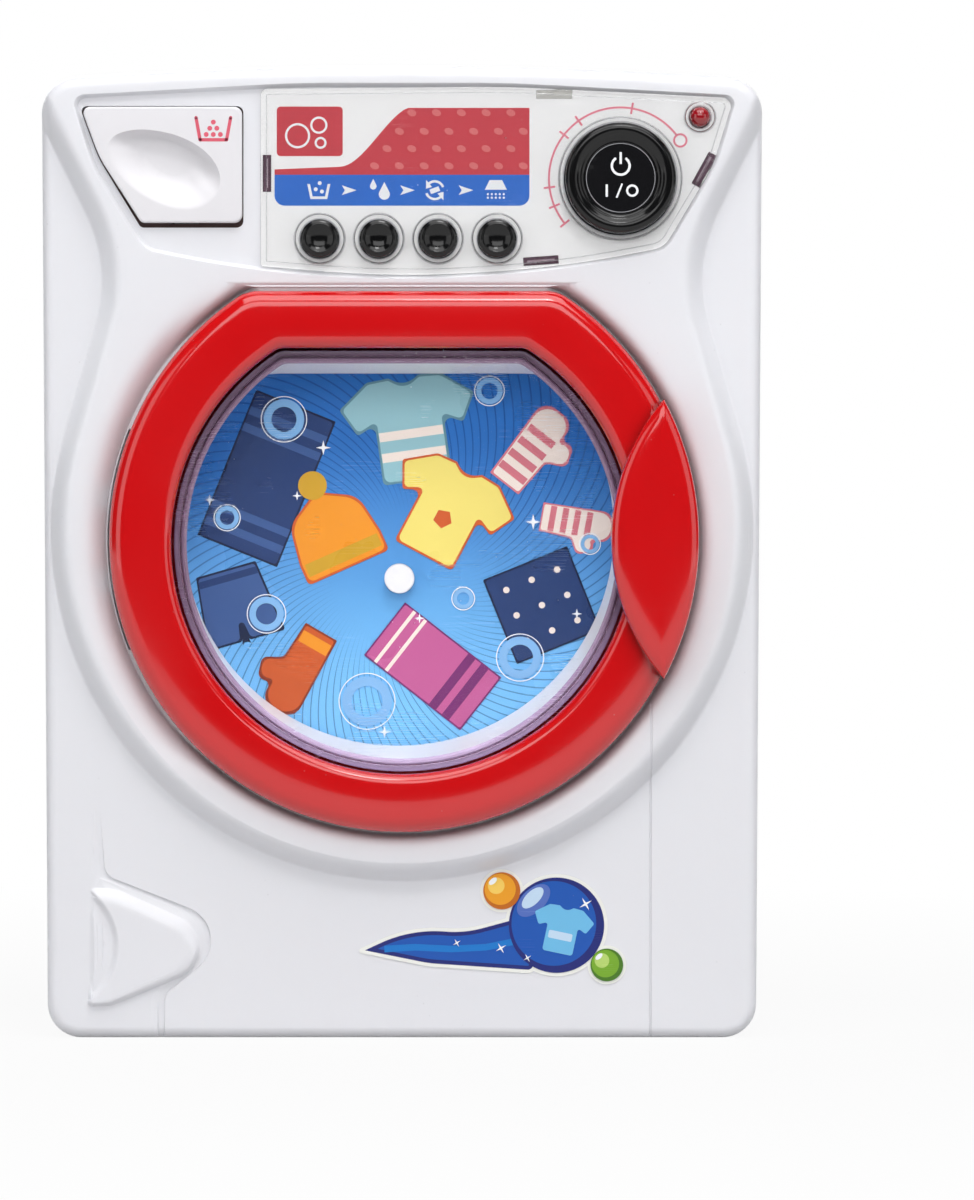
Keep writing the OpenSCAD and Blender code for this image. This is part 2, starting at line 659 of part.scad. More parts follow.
sticker_r = power_r * 0.65;
power_face_y = cover_y - 2.4;
module power_button() {
  color("#111111") place() turned(power_at, [[0, power_face_y], [sticker_r + 0.2, power_face_y],
    [sticker_r + 0.3, power_face_y - 0.5], [power_r - 3.1, power_face_y - 0.6],
    [power_r - 2.8, power_face_y - 1.1], [power_r - 1.7, power_face_y - 1.5],
    [power_r - 0.6, power_face_y - 1.3], [power_r, power_face_y - 0.5], [power_r, slab_y + 0.1],
    [power_r + 1, slab_y + 0.1], [power_r + 1, slab_y + 1.2], [3, slab_y + 1.2], [3, stem_y],
    [0, stem_y]]);
}

module power_sticker() {
  color("#222222") place() rod(power_at, sticker_r, power_face_y - label_t, power_face_y);
}

module indicator_lamp() {
  color("red") place() {
    turned(lamp_at, [[0, cover_y - 1.9], [1.2, cover_y - 1.6], [2, cover_y - 0.8], [lamp_r, cover_y],
      [lamp_r, slab_y + 0.1], [lamp_r + 0.5, slab_y + 0.1], [lamp_r + 0.5, slab_y + 1.1],
      [0, slab_y + 1.1]]);
    for (x = [-1.27, 1.27])
      block([lamp_at[0] + x - 0.25, slab_y + 1, lamp_at[1] - 0.25],
        [lamp_at[0] + x + 0.25, board_y, lamp_at[1] + 0.25]);
  }
}

module circuit_board() {
  color("darkgreen") place() difference() {
    union() {
      slab(board_y, board_y + board_t)
        polygon([for (p = [[-29, 172.6], [72, 172.6], [72, 211.5], [58, 211.5], [58, 205.6],
          [-29, 205.6]]) [across(p[0]), up(p[1])]]);
      rod([across(20), up(190)], 4.5, board_y + board_t - eps, board_y + board_t + 1.6);
      block([across(32), board_y + board_t - eps, up(200)],
        [across(32) + 8, board_y + board_t + 3, up(204)]);
    }
    for (p = board_posts) rod([p[0], p[1]], 1.4, board_y - 1, board_y + board_t + 1);
  }
}

module key_dome(at, r, travel) {
  top = stem_y + travel + 0.05;
  turned(at, [[0, top], [r * 0.55, top], [r * 0.65, top + 0.4], [r * 0.75, board_y - 1],
    [r, board_y - 1], [r, board_y], [0, board_y]]);
}
module key_domes() {
  color("dimgray") place() {
    for (x = button_x) key_dome([x, button_z], 4.2, button_travel);
    key_dome(power_at, 6, power_travel);
  }
}

module board_screws() {
  color("silver") place() for (p = board_posts)
    screw([p[0], p[1]], board_y + board_t + head_t, board_y - 5);
}

// ---------- detergent drawer ----------

drawer_front_y = floor_y - 1.7;
drawer_end = drawer_front_y + drawer_len;
tray_inset = 1.6;
tray_wall = 1.4;
stop_half = 3;
stop_x = (drawer_left + drawer_right) / 2 + 5;
scoop_at = [(drawer_left + drawer_right) / 2 + 0.4, drawer_high - 14.1];

// Egg-shaped finger recess, tilted down to the right and fuller at that end
function egg(scale, shift) =
  [for (k = [0:27])
    let (t = 360 * (k + 0.5) / 28, x = 13.6 * scale * cos(t), z = 7.7 * scale * sin(t) * (1 + 0.14 * cos(t)))
    scoop_at + shift + [x * cos(24) + z * sin(24), z * cos(24) - x * sin(24)]];

module scoop() {
  loft([[drawer_front_y + 3.8, egg(0.5, [-0.8, 1.6])], [drawer_front_y + 3.2, egg(0.72, [-0.4, 0.9])],
    [drawer_front_y + 1.6, egg(0.91, [-0.1, 0.3])], [drawer_front_y + 0.3, egg(0.99, [0, 0])],
    [drawer_front_y - 0.5, egg(1.03, [0, 0])]]);
}

module detergent_drawer() {
  color("white") place() difference() {
    union() {
      slab(drawer_front_y, drawer_front_y + 1.8) polygon(rounded(drawer_corners));
      slab(drawer_front_y + 1, drawer_end) polygon(rounded(drawer_corners, tray_inset));
      block([stop_x - stop_half, drawer_end - 2, drawer_low + tray_inset - 0.9],
        [stop_x + stop_half, drawer_end, drawer_low + tray_inset + 1]);
    }
    slab(drawer_front_y + 5.4, drawer_end - tray_wall)
      polygon(rounded(drawer_corners, tray_inset + tray_wall));
    block([drawer_left - 5, drawer_front_y + 5.4, drawer_high - 6],
      [drawer_right + 5, drawer_end + 1, drawer_high + 5]);
    scoop();
  }
}

sleeve_t = 2.2;
module drawer_sleeve() {
  color("whitesmoke") place() difference() {
    slab(slab_y, drawer_end + gap + 1.6)
      polygon(rounded(drawer_corners, tray_inset - 0.4 - sleeve_t));
    slab(slab_y - 1, drawer_end + gap) polygon(rounded(drawer_corners, tray_inset - 0.4));
    block([stop_x - stop_half - 0.4, slab_y - 1, drawer_low + tray_inset - 0.4 - 1.3],
      [stop_x + stop_half + 0.4, drawer_end + gap, drawer_low + tray_inset + 1]);
  }
}

// ---------- door ----------

back_ring_t = 1.8;
flange_y = door_back - back_ring_t - window_t;   // front of the window's flange
ring_wall = 2;

module door_solid() {
  loft([[door_back, door_outline(0)], [door_back - door_t * 0.63, door_outline(0)],
    [door_back - door_t * 0.79, door_outline(-0.6)], [door_back - door_t * 0.95, door_outline(-2.6)],
    [door_front, door_outline(-3.8)]]);
}

module lug_clearance() {
  for (z = [-lug_to - gap, lug_from - gap])
    block([-door_r - 1, hinge_y - barrel_r - gap, door_z + z],
      [-hinge_x + barrel_r + gap, door_back + 1, door_z + z + lug_to - lug_from + 2 * gap]);
}

module door_ring() {
  color("red") place() difference() {
    door_solid();
    loft([[door_back + 1, opening_outline(0)], [door_front + 2.6, opening_outline(0)],
      [door_front + 0.9, opening_outline(0.9)], [door_front - 0.1, opening_outline(2.6)]]);
    slab(flange_y - run, door_back + 1) polygon(door_outline(-ring_wall));
    slab(door_front + 2.2, door_back + 1) difference() {
      polygon(door_outline(-ring_wall));
      polygon(opening_outline(ring_wall));
    }
    lug_clearance();
    block([-hinge_x - barrel_r - gap, hinge_y - barrel_r - gap, door_z - knuckle_half - gap],
      [-hinge_x + barrel_r + gap, door_back + 1, door_z + knuckle_half + gap]);
  }
}

module door_back_ring() {
  color("crimson") place() difference() {
    union() {
      slab(door_back - back_ring_t, door_back) difference() {
        polygon(door_outline(-ring_wall - 0.1));
        polygon(opening_outline(-0.6));
      }
      translate([-hinge_x, hinge_y, door_z - knuckle_half]) cylinder(r = barrel_r, h = 2 * knuckle_half);
      block([-hinge_x - 1.4, hinge_y, door_z - knuckle_half],
        [-hinge_x + barrel_r, door_back - 0.4, door_z + knuckle_half]);
      block([catch_x - 0.9, door_back - 1, door_z - catch_half],
        [catch_x + 0.9, seat_back + 3.2, door_z + catch_half]);
    }
    lug_clearance();
    translate([-hinge_x, hinge_y, door_z - 20]) cylinder(r = hinge_d / 2 + run, h = 40);
  }
}

// Levels of the window from its flange to the middle of its dome, with how far each lies
// inside the opening
window_profile = [[0, -0.5], [2.2, -0.9], [2.9, -1.8], [3.5, -4.6], [4.1, -12], [4.5, -22], [4.7, -34]];
module door_window() {
  color("lightcyan", 0.35) place() difference() {
    loft(concat([[flange_y + window_t, opening_outline(1.8)], [flange_y, opening_outline(1.8)]],
      [for (p = window_profile) [flange_y - p[0], opening_outline(p[1])]]));
    loft(concat([[flange_y + window_t + 1, opening_outline(-0.5 - window_t)]],
      [for (p = window_profile) [flange_y + window_t - p[0], opening_outline(p[1] - window_t)]]));
  }
}

handle_in = 47;     // distance of the handle's inner curve from the middle of the door

// Leaf between the door's rim and the handle's inner curve, moved inwards by i
function leaf(i) =
  let (ra = door_r + 0.7 - i, rb = handle_r - i, d = handle_in + handle_r,
       x = (d * d + ra * ra - rb * rb) / (2 * d), a = acos(x / ra), b = acos((d - x) / rb), n = 14)
  moved(concat([for (k = [0:n]) ra * aim(-a + 2 * a * (k + 0.25) / (n + 0.5))],
    [for (k = [0:n]) [d, 0] + rb * aim(180 - b + 2 * b * (k + 0.25) / (n + 0.5))]), [0, door_z]);
leaf_profile = [[0, 0.4], [0.7, 0.22], [1.8, 0.1], [3.6, 0.03], [6, 0]];

module door_handle() {
  color("red") place() difference() {
    loft(concat([[door_back - door_t * 0.45, leaf(0)]],
      [for (p = leaf_profile) [handle_front + p[1] * handle_h, leaf(p[0])]]));
    door_solid();
  }
}

module hinge_pin() {
  color("silver") place() translate([-hinge_x, hinge_y, door_z - lug_to])
    cylinder(r = hinge_d / 2, h = 2 * lug_to);
}

// Leaf that presses on the side of the door's catch tongue
module door_catch() {
  color("whitesmoke") place() translate([0, 0, door_z - catch_half]) linear_extrude(2 * catch_half)
    polygon([[catch_x + 2.6, seat_back], [catch_x + 5, seat_back], [catch_x + 5, seat_back + 3],
      [catch_x + 2.2, seat_back + 3], [catch_x + 1.15, seat_back + 2.2], [catch_x + 1.15, seat_back + 1.7],
      [catch_x + 2.2, seat_back + 1.1], [catch_x + 2.6, seat_back + 1.1]]);
}

// ---------- drum ----------

// The tub narrows and rises a little from its mouth (t = 0) to its rear edge (t = 1)
function tub_outline(t, grow) =
  flat_circle(tub_r - 1.9 * t + grow, tub_r - 9.8 - 3.4 * t + grow, 4, tub_z + 2 * t);
tub_wall = 1.8;

module tub_ring() {
  color("white") place() difference() {
    union() {
      loft([[tub_end, tub_outline(1, tub_wall)], [seat_back, tub_outline(0, tub_wall)]]);
      slab(tub_flange_y, tub_flange_y + 1.6) polygon(flat_circle(tub_r + 12, tub_r + 3.5, 4, tub_z));
    }
    loft([[tub_end + 1, tub_outline(1, 0)], [seat_back - 1, tub_outline(0, 0)]]);
    for (p = tub_posts) rod(p, 1.4, tub_flange_y - 1, tub_flange_y + 3);
    block([catch_x - 3, tub_flange_y - 1, door_z - catch_half - 1.5],
      [catch_x + 8, tub_flange_y + 3, door_z + catch_half + 1.5]);
  }
}

module tub_screws() {
  color("silver") place() for (p = tub_posts)
    screw(p, tub_flange_y + 1.6 + head_t, tub_flange_y - 3);
}

module spin_disc() {
  color("white") place() difference() {
    union() {
      rod(hub, disc_r, disc_y, disc_y + disc_t);
      rod(hub, boss_r, disc_y - 3.2, disc_y + eps);
      rod(hub, shaft_d / 2 + 4, disc_y + disc_t - eps, bracket_y - 1.4);
      slab(disc_y + disc_t - eps, disc_y + disc_t + 2.2) difference() {
        translate(hub) circle(disc_r);
        translate(hub) circle(disc_r - 1.8);
      }
    }
    rod(hub, shaft_d / 2 + eps, disc_y + 0.6, bracket_y);
  }
}

module disc_label() {
  color("deepskyblue") place() slab(disc_y - label_t, disc_y) difference() {
    translate(hub) circle(disc_r - 0.6);
    translate(hub) circle(boss_r + 0.15);
  }
}

module drive_shaft() {
  color("silver") place() rod(hub, shaft_d / 2, disc_y + 0.8, layer_y[0] + layer_t[0] + 0.6);
}

module shaft_bush() {
  color("darkgoldenrod") place() difference() {
    union() {
      rod(hub, shaft_d / 2 + 1.8, bracket_y - eps, bracket_y + bracket_t + 0.4);
      rod(hub, shaft_d / 2 + 3.2, bracket_y - 1, bracket_y);
    }
    rod(hub, shaft_d / 2 + run, bracket_y - 2, bracket_y + bracket_t + 1);
  }
}

// ---------- drive ----------

// Outline of a spur gear with involute flanks; one tooth points along the angle turn
pressure = 20;
lash = 0.06;
function involute(a) = tan(a) * 180 / PI - a;
function gear_outline(n, turn) =
  let (r = n * tooth_module / 2, rb = r * cos(pressure), ra = r + 0.82 * tooth_module,
       rr = r - 1.2 * tooth_module, half = 90 / n - lash / r * 180 / PI,
       r_of = [for (k = [0:3]) max(rb, rr) + (ra - max(rb, rr)) * k / 3],
       flank = concat([[rr, half + involute(pressure)]],
         [for (q = r_of) [q, half + involute(pressure) - involute(acos(min(1, rb / q)))]]))
  [for (t = [0:n - 1]) let (mid = turn + 360 * t / n)
    each concat([for (f = flank) f[0] * aim(mid - f[1])],
      [for (k = [len(flank) - 1:-1:0]) flank[k][0] * aim(mid + flank[k][1])])];

module gear(at, n, turn, y0, y1) {
  slab(y0, y1) translate(at) polygon(gear_outline(n, turn));
}

module output_gear() {
  color("ivory") place() difference() {
    union() {
      gear(hub, output_teeth, dir_b, layer_y[0], layer_y[0] + layer_t[0]);
      rod(hub, shaft_d / 2 + 1.6, layer_y[0] - 0.4, layer_y[0] + 0.5);
    }
    rod(hub, shaft_d / 2 + eps, layer_y[0] - 1, layer_y[0] + layer_t[0] + 1);
  }
}

module compound_gear_b() {
  color("ivory") place() difference() {
    union() {
      gear(centre_b, small_b_teeth, dir_b + 180 + 180 / small_b_teeth, layer_y[0], layer_y[1] + eps);
      gear(centre_b, wheel_teeth, dir_a, layer_y[1], layer_y[1] + layer_t[1]);
      rod(centre_b, 2.4, bracket_y + bracket_t + 0.2, layer_y[0] + eps);
      rod(centre_b, 2.4, layer_y[1] + layer_t[1] - eps, gearbox_back - 1.7);
    }
    rod(centre_b, axle_r + run, bracket_y, gearbox_back);
  }
}

module compound_gear_a() {
  color("ivory") place() difference() {
    union() {
      gear(centre_a, small_a_teeth, dir_a + 180 + 180 / small_a_teeth, layer_y[1] - 0.4,
        layer_y[2] + eps);
      gear(centre_a, wheel_teeth, dir_motor, layer_y[2], layer_y[2] + layer_t[2]);
      rod(centre_a, 2.2, bracket_y + bracket_t + 0.2, layer_y[1] - 0.4 + eps);
      rod(centre_a, 2.2, layer_y[2] + layer_t[2] - eps, gearbox_back - 1.7);
    }
    rod(centre_a, axle_r + run, bracket_y, gearbox_back);
  }
}

module gear_axles() {
  color("silver") place() for (c = [centre_a, centre_b])
    rod(c, axle_r, bracket_y + 0.4, gearbox_back - 0.5);
}

box_low = [hub[0] - output_r - 3, hub[1] - output_r - 3];
box_high = [max(centre_motor[0], centre_a[0]) + motor_d / 2 + 2.4, centre_a[1] + wheel_r + 2.6];
box_screws = [for (x = [box_low[0] - 2.5, box_high[0] + 2.5], z = [box_low[1] + 5, box_high[1] - 5]) [x, z]];

module box_shape(grow) {
  translate(box_low) offset_square(box_high - box_low, grow);
}

module gear_bracket() {
  color("lightgray") place() difference() {
    union() {
      slab(bracket_y, bracket_y + bracket_t) {
        translate([-bracket_post_x - 5, hub_z - 18]) square([2 * bracket_post_x + 10, 36]);
        box_shape(3);
        for (p = box_screws) translate(p) circle(3.4);
      }
      for (p = box_screws) rod(p, 2.6, bracket_y - 3, bracket_y + eps);
      for (z = [hub_z - 17, hub_z + 15.8])
        block([7 - bracket_post_x, bracket_y + bracket_t - eps, z],
          [box_low[0] - 7, bracket_y + bracket_t + 4, z + 1.2]);
    }
    rod(hub, shaft_d / 2 + 1.8 + eps, bracket_y - 1, bracket_y + bracket_t + 1);
    for (p = bracket_posts) rod([p[0], p[1]], 1.4, bracket_y - 1, bracket_y + bracket_t + 1);
    for (p = box_screws) rod(p, pilot_r, bracket_y - 2.4, bracket_y + bracket_t + 1);
    for (c = [centre_a, centre_b]) rod(c, axle_r + eps, bracket_y + 0.3, bracket_y + bracket_t + 1);
  }
}

module bracket_screws() {
  color("silver") place() for (p = bracket_posts)
    screw([p[0], p[1]], bracket_y + bracket_t + head_t, bracket_y - 7);
}

module gearbox_cover() {
  color("lightgray") place() difference() {
    union() {
      slab(bracket_y + bracket_t, gearbox_back) box_shape(0);
      for (p = box_screws) {
        rod(p, 3.2, bracket_y + bracket_t, bracket_y + bracket_t + 2.4);
        block([min(p[0], (box_low[0] + box_high[0]) / 2 + sign(p[0] - hub[0]) * 25),
          bracket_y + bracket_t, p[1] - 1.5], [max(p[0], box_low[0] + 0.5), bracket_y + bracket_t + 2.4,
          p[1] + 1.5]);
      }
      rod(centre_motor, motor_d / 2 + 1.6, gearbox_back - eps, gearbox_back + 14);
    }
    slab(bracket_y, gearbox_back - 1.5) box_shape(-1.5);
    rod(centre_motor, motor_d / 2 + 0.1, gearbox_back, gearbox_back + 15);
    rod(centre_motor, 3.1, gearbox_back - 2, gearbox_back + 1);
    for (c = [centre_a, centre_b]) rod(c, axle_r + eps, gearbox_back - 2, gearbox_back - 0.4);
    for (p = box_screws) rod(p, 1.4, bracket_y, bracket_y + bracket_t + 3);
  }
}

module gearbox_screws() {
  color("silver") place() for (p = box_screws)
    screw(p, bracket_y + bracket_t + 2.4 + head_t, bracket_y - 2);
}

module motor_can() {
  color("gray") place() difference() {
    union() {
      slab(gearbox_back + eps, gearbox_back + motor_len) intersection() {
        translate(centre_motor) circle(motor_d / 2);
        translate(centre_motor - [motor_d / 2, motor_d * 0.38]) square([motor_d, motor_d * 0.76]);
      }
      rod(centre_motor, 3, gearbox_back - 1.4, gearbox_back + 1);
      for (x = [-4.5, 3.5])
        block([centre_motor[0] + x, gearbox_back + motor_len - eps, centre_motor[1] - 0.3],
          [centre_motor[0] + x + 1, gearbox_back + motor_len + 1.6, centre_motor[1] + 0.3]);
    }
    rod(centre_motor, axle_r + run, gearbox_back - 3, gearbox_back + motor_len + 3);
  }
}

module motor_shaft() {
  color("silver") place()
    rod(centre_motor, axle_r, layer_y[2] - 0.6, gearbox_back + motor_len + 1.2);
}

module motor_pinion() {
  color("goldenrod") place() difference() {
    gear(centre_motor, pinion_teeth, dir_motor + 180 + 180 / pinion_teeth, layer_y[2] - 0.2,
      layer_y[2] + layer_t[2] + 0.2);
    rod(centre_motor, axle_r + eps, layer_y[2] - 1, layer_y[2] + layer_t[2] + 1);
  }
}

// ---------- power supply ----------

cell_z = [bay_low + cell_d / 2 + cell_gap, bay_high - cell_d / 2 - cell_gap];
plate_t = 0.4;
cell_end = bay_half - plate_t;          // where a cell's far end rests on its contact plate

module battery_cells() {
  color("dimgray") place() for (i = [0, 1]) {
    dir = 1 - 2 * i;
    translate([i == 0 ? cell_end - cell_len : -cell_end, cell_y, cell_z[i]]) rotate([0, 90, 0])
      cylinder(r = cell_d / 2, h = cell_len);
  }
}

spring_turns = 4;
function spring_route(i) =
  let (dir = 1 - 2 * i, len = 2 * cell_end - cell_len, n = spring_turns * 10)
  [for (k = [0:n]) let (t = k / n, r = 4.4 - 1.8 * t)
    [-dir * (cell_end - 0.4 - (len - 0.9) * t), cell_y + r * cos(360 * spring_turns * t),
     cell_z[i] + r * sin(360 * spring_turns * t)]];

module battery_contacts() {
  color("silver") place() {
    for (x = [-1, 1], i = [0, 1])
      block([x > 0 ? cell_end + eps : -bay_half, cell_y - 5, cell_z[i] - 5],
        [x > 0 ? bay_half : -cell_end - eps, cell_y + 5, cell_z[i] + 5]);
    for (i = [0, 1]) tube(spring_route(i), 0.35, 6);
  }
}

module battery_door() {
  color("white") place() difference() {
    slab(back_y - 2 + eps, back_y) battery_door_shape(0);
    rod(bay_screw, 1.4, back_y - 3, back_y + 1);
    rod(bay_screw, 2.6, back_y - 0.1 - head_t, back_y + 1);
    for (x = [-12:4:12]) block([x - 0.6, back_y - 0.5, bay_low + 4], [x + 0.6, back_y + 1, bay_low + 10]);
  }
}

module battery_door_screw() {
  color("silver") place() screw(bay_screw, back_y - 0.1, back_y - 10, 2.2);
}

module speaker() {
  color("#333333") place() turned(speaker_at, [[0, back_y - wall - 3], [6, back_y - wall - 2.6],
    [speaker_d / 2 - 2, back_y - wall - 0.1], [speaker_d / 2, back_y - wall - 0.1],
    [speaker_d / 2, back_y - wall - 1.4], [10, back_y - wall - 6], [10, back_y - wall - 10],
    [0, back_y - wall - 10]]);
}

// Leads are [x, y, z] with y measured like every other level. Their upper ends lie on the board.
lead_r = 0.6;
lead_gap = 0.25;
board_back = board_y + board_t;
function climb(z0, z1, t) = z0 + (z1 - z0) * t;
board_z = up(184);
motor_x = centre_motor[0];
motor_z = centre_motor[1];
motor_route = [[motor_x + 5, gearbox_back + motor_len + 2.1, motor_z],
  [motor_x + 9, gearbox_back + motor_len + 4.1, motor_z + 4.4],
  [motor_x + 17, gearbox_back + motor_len - 0.9, motor_z + 12.4],
  [across(62), 50, climb(motor_z, board_z, 0.367)], [across(60), 34, climb(motor_z, board_z, 0.578)],
  [across(50), board_back + 10.4, climb(motor_z, board_z, 0.759)],
  [across(41), board_back + 4, board_z - 5], [across(40), board_back + 2.4, board_z],
  [across(40), board_back + lead_gap, board_z]];
speaker_z = speaker_at[1] + 4;
speaker_back = back_y - wall - 10;
speaker_route = [[speaker_at[0], speaker_back - lead_gap, speaker_z],
  [speaker_at[0], speaker_back - 2.4, speaker_z], [speaker_at[0] - 6, speaker_back - 4, speaker_z + 10], [speaker_at[0] - 14, 54, speaker_z + 24],
  [across(-64), 44, climb(speaker_z, board_z, 0.41)], [across(-60), 34, climb(speaker_z, board_z, 0.63)],
  [across(-46), 24, climb(speaker_z, board_z, 0.81)], [across(-25), board_back + 4, board_z - 6],
  [across(-22), board_back + 2.4, board_z], [across(-22), board_back + lead_gap, board_z]];
battery_z = bay_low + 9;
battery_route = [[bay_half + 1.8, cell_y - 2.3, battery_z], [bay_half + 8.5, cell_y - 8, battery_z + 2],
  [across(52), 56, battery_z + 12], [across(66), 50, climb(battery_z, board_z, 0.2)],
  [across(69), 42, climb(battery_z, board_z, 0.375)], [across(68), 38, climb(battery_z, board_z, 0.588)],
  [across(66), 32, climb(battery_z, board_z, 0.75)], [across(58), 20, climb(battery_z, board_z, 0.888)],
  [across(53), board_back + 4, board_z - 4], [across(52), board_back + 2.4, board_z + 2],
  [across(52), board_back + lead_gap, board_z + 2]];

module leads(route, gap_x) {
  for (x = [0, gap_x]) tube(curve([for (p = route) p + [x, 0, 0]]), lead_r);
}
module motor_leads() { color("firebrick") place() leads(motor_route, -4); }
module speaker_leads() { color("royalblue") place() leads(speaker_route, 3); }
module battery_leads() { color("black") place() leads(battery_route, 3); }

module front_sticker() {
  color("royalblue") place() slab(-label_t, -eps) {
    for (b = sticker_bubbles) translate([b[0], b[1]]) circle(b[2]);
    polygon(rounded(sticker_tail));
  }
}

front_housing();
rear_housing();
housing_screws();
console_card();
console_cover();
program_button_1();
program_button_2();
program_button_3();
program_button_4();
power_button();
power_sticker();
indicator_lamp();
circuit_board();
key_domes();
board_screws();
detergent_drawer();
drawer_sleeve();
door_ring();
door_window();
door_back_ring();
door_handle();
hinge_pin();
door_catch();
tub_ring();
tub_screws();
spin_disc();
disc_label();
drive_shaft();
output_gear();
shaft_bush();
gear_bracket();
bracket_screws();
gearbox_cover();
gearbox_screws();
gear_axles();
compound_gear_a();
compound_gear_b();
motor_can();
motor_shaft();
motor_pinion();
battery_cells();
battery_contacts();
battery_door();
battery_door_screw();
speaker();
motor_leads();
speaker_leads();
battery_leads();
front_sticker();
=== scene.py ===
# %% [markdown]
# # A toy washing machine, dressed over its measured solids
# The toy is moulded plastic: two white half shells, a red door with a clear window, a printed disc
# that a small motor turns behind it, and a console with press buttons under a clear cover. The
# solids of every piece come ready made. This lesson replaces those whose curves show with finer
# surfaces, adds the prints, and gives each piece a finish made of nodes.

# %% Load the fixed frame
import math

import bpy
import numpy as np
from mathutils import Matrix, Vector
from mathutils.geometry import delaunay_2d_cdt


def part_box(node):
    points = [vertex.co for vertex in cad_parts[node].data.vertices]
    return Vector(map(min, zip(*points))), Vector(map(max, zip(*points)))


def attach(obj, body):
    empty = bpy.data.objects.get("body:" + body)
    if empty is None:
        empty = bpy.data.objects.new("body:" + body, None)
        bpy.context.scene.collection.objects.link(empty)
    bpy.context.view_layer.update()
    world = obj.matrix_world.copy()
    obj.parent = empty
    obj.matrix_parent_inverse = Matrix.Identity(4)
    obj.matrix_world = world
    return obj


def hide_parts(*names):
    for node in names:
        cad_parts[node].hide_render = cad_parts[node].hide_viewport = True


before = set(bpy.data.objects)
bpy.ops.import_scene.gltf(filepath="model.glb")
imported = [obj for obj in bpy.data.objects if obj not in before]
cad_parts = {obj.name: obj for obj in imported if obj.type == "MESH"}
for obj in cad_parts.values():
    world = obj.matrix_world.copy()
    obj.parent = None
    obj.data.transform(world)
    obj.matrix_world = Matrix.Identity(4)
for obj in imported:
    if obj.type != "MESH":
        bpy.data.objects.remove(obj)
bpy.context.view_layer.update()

# %% [markdown]
# ## Working in millimetres
# The shapes are worked out in millimetres, as [x, z] outlines in the front view with a depth y
# counted backwards from the flat lower front. The frame is in metres and centred in depth, so one
# function moves points into it, by a shift that is read from the back wall of the rear shell.

# %% Depths and the way into the frame
BODY_DEPTH = 78.0
SHIFT_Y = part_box("rear_housing")[1].y * 1000 - BODY_DEPTH
RELIEF = 5.0  # how far the console and the door surround stand forward
FLOOR_Y = -3.5  # floor of the console recess
CARD_Y = -3.7  # front of the printed card
COVER_Y = -4.7  # front of the clear cover
SEAT_Y = -1.0  # floor of the seat that the door closes on
PARTING_Y = 40.0  # where the two shells meet
DOOR_BACK, DOOR_FRONT = -1.3, -9.3
HANDLE_FRONT = -14.3


def to_metres(points):
    """Points [x, y, z] in millimetres as metres in the frame: y is shifted, then all is / 1000."""
    return (np.asarray(points, float) + [0, SHIFT_Y, 0]) / 1000


print("depth shift", round(SHIFT_Y, 3), "mm")

# %% [markdown]
# ## Which way a closed surface faces
# Every new surface below is two arrays: points, and faces that name them. It faces outwards when
# its volume, added up with signs, is positive; otherwise its faces are turned round. In a piece of
# several closed parts, each part is turned by itself.


# %% Signed volume and joined parts
def signed_volume(points, faces):
    """Sum over the faces of the volume of the pyramid from the origin: a . (b x c) / 6."""
    total = 0.0
    for size in {len(f) for f in faces}:
        rows = np.array([f for f in faces if len(f) == size])
        for k in range(1, size - 1):
            a, b, c = (points[rows[:, i]] for i in (0, k, k + 1))
            total += np.einsum("ij,ij->", a, np.cross(b, c)) / 6
    return total


def outwards(points, faces):
    """Faces as tuples, each turned round if the surface that they close is inside out."""
    faces = [tuple(int(i) for i in f) for f in faces]
    return [f[::-1] for f in faces] if signed_volume(points, faces) < 0 else faces


def shells(parts):
    """Joins closed (points, faces) pairs into one pair: each part's face numbers are moved on by
    the number of points before it."""
    points, faces, start = [], [], 0
    for p, f in parts:
        p = np.asarray(p, float)
        points.append(p)
        faces += [tuple(i + start for i in x) for x in outwards(p, f)]
        start += len(p)
    return np.vstack(points), faces


corner = np.vstack([np.zeros(3), np.eye(3)])
print("a corner holds", signed_volume(corner, [(0, 2, 1), (0, 1, 3), (0, 3, 2), (1, 2, 3)]))

# %% [markdown]
# ## From arrays to a piece
# Big flat faces next to small rounded edges shade badly when normals are plainly averaged. A
# Weighted Normal modifier lets the large faces win and keeps the edges that are marked sharp. A
# piece also names the body that it rides on and its material slot.


# %% A piece of the toy
SHARP = 32.0  # an edge that turns by more degrees than this stays sharp


def piece(name, points, faces, body, slot, sharp=SHARP, look=None):
    """A new object from points in millimetres and faces that close a surface. It rides on its
    body and has the finish of its slot or of look. Edges that turn by more than sharp stay sharp.
    """
    points = to_metres(points)
    mesh = bpy.data.meshes.new(name)
    mesh.from_pydata(points.tolist(), [], outwards(points, faces))
    mesh.polygons.foreach_set("use_smooth", np.ones(len(mesh.polygons), bool))
    mesh.set_sharp_from_angle(angle=math.radians(sharp))
    obj = bpy.data.objects.new(name, mesh)
    bpy.context.scene.collection.objects.link(obj)
    mesh.materials.append(finish[look or slot])
    weigh = obj.modifiers.new("even shading", "WEIGHTED_NORMAL")
    weigh.keep_sharp = True
    weigh.weight = 100
    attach(obj, body)
    return obj


print("sharp edges turn by more than", SHARP, "degrees")

# %% [markdown]
# ## Grids, turned shapes and arcs
# Buttons, lamps and wells are turned shapes: a profile of [radius, depth] carried round an axis.
# Their faces form a grid of rows and columns, as do those of the lofts further down, so one
# function numbers them all.


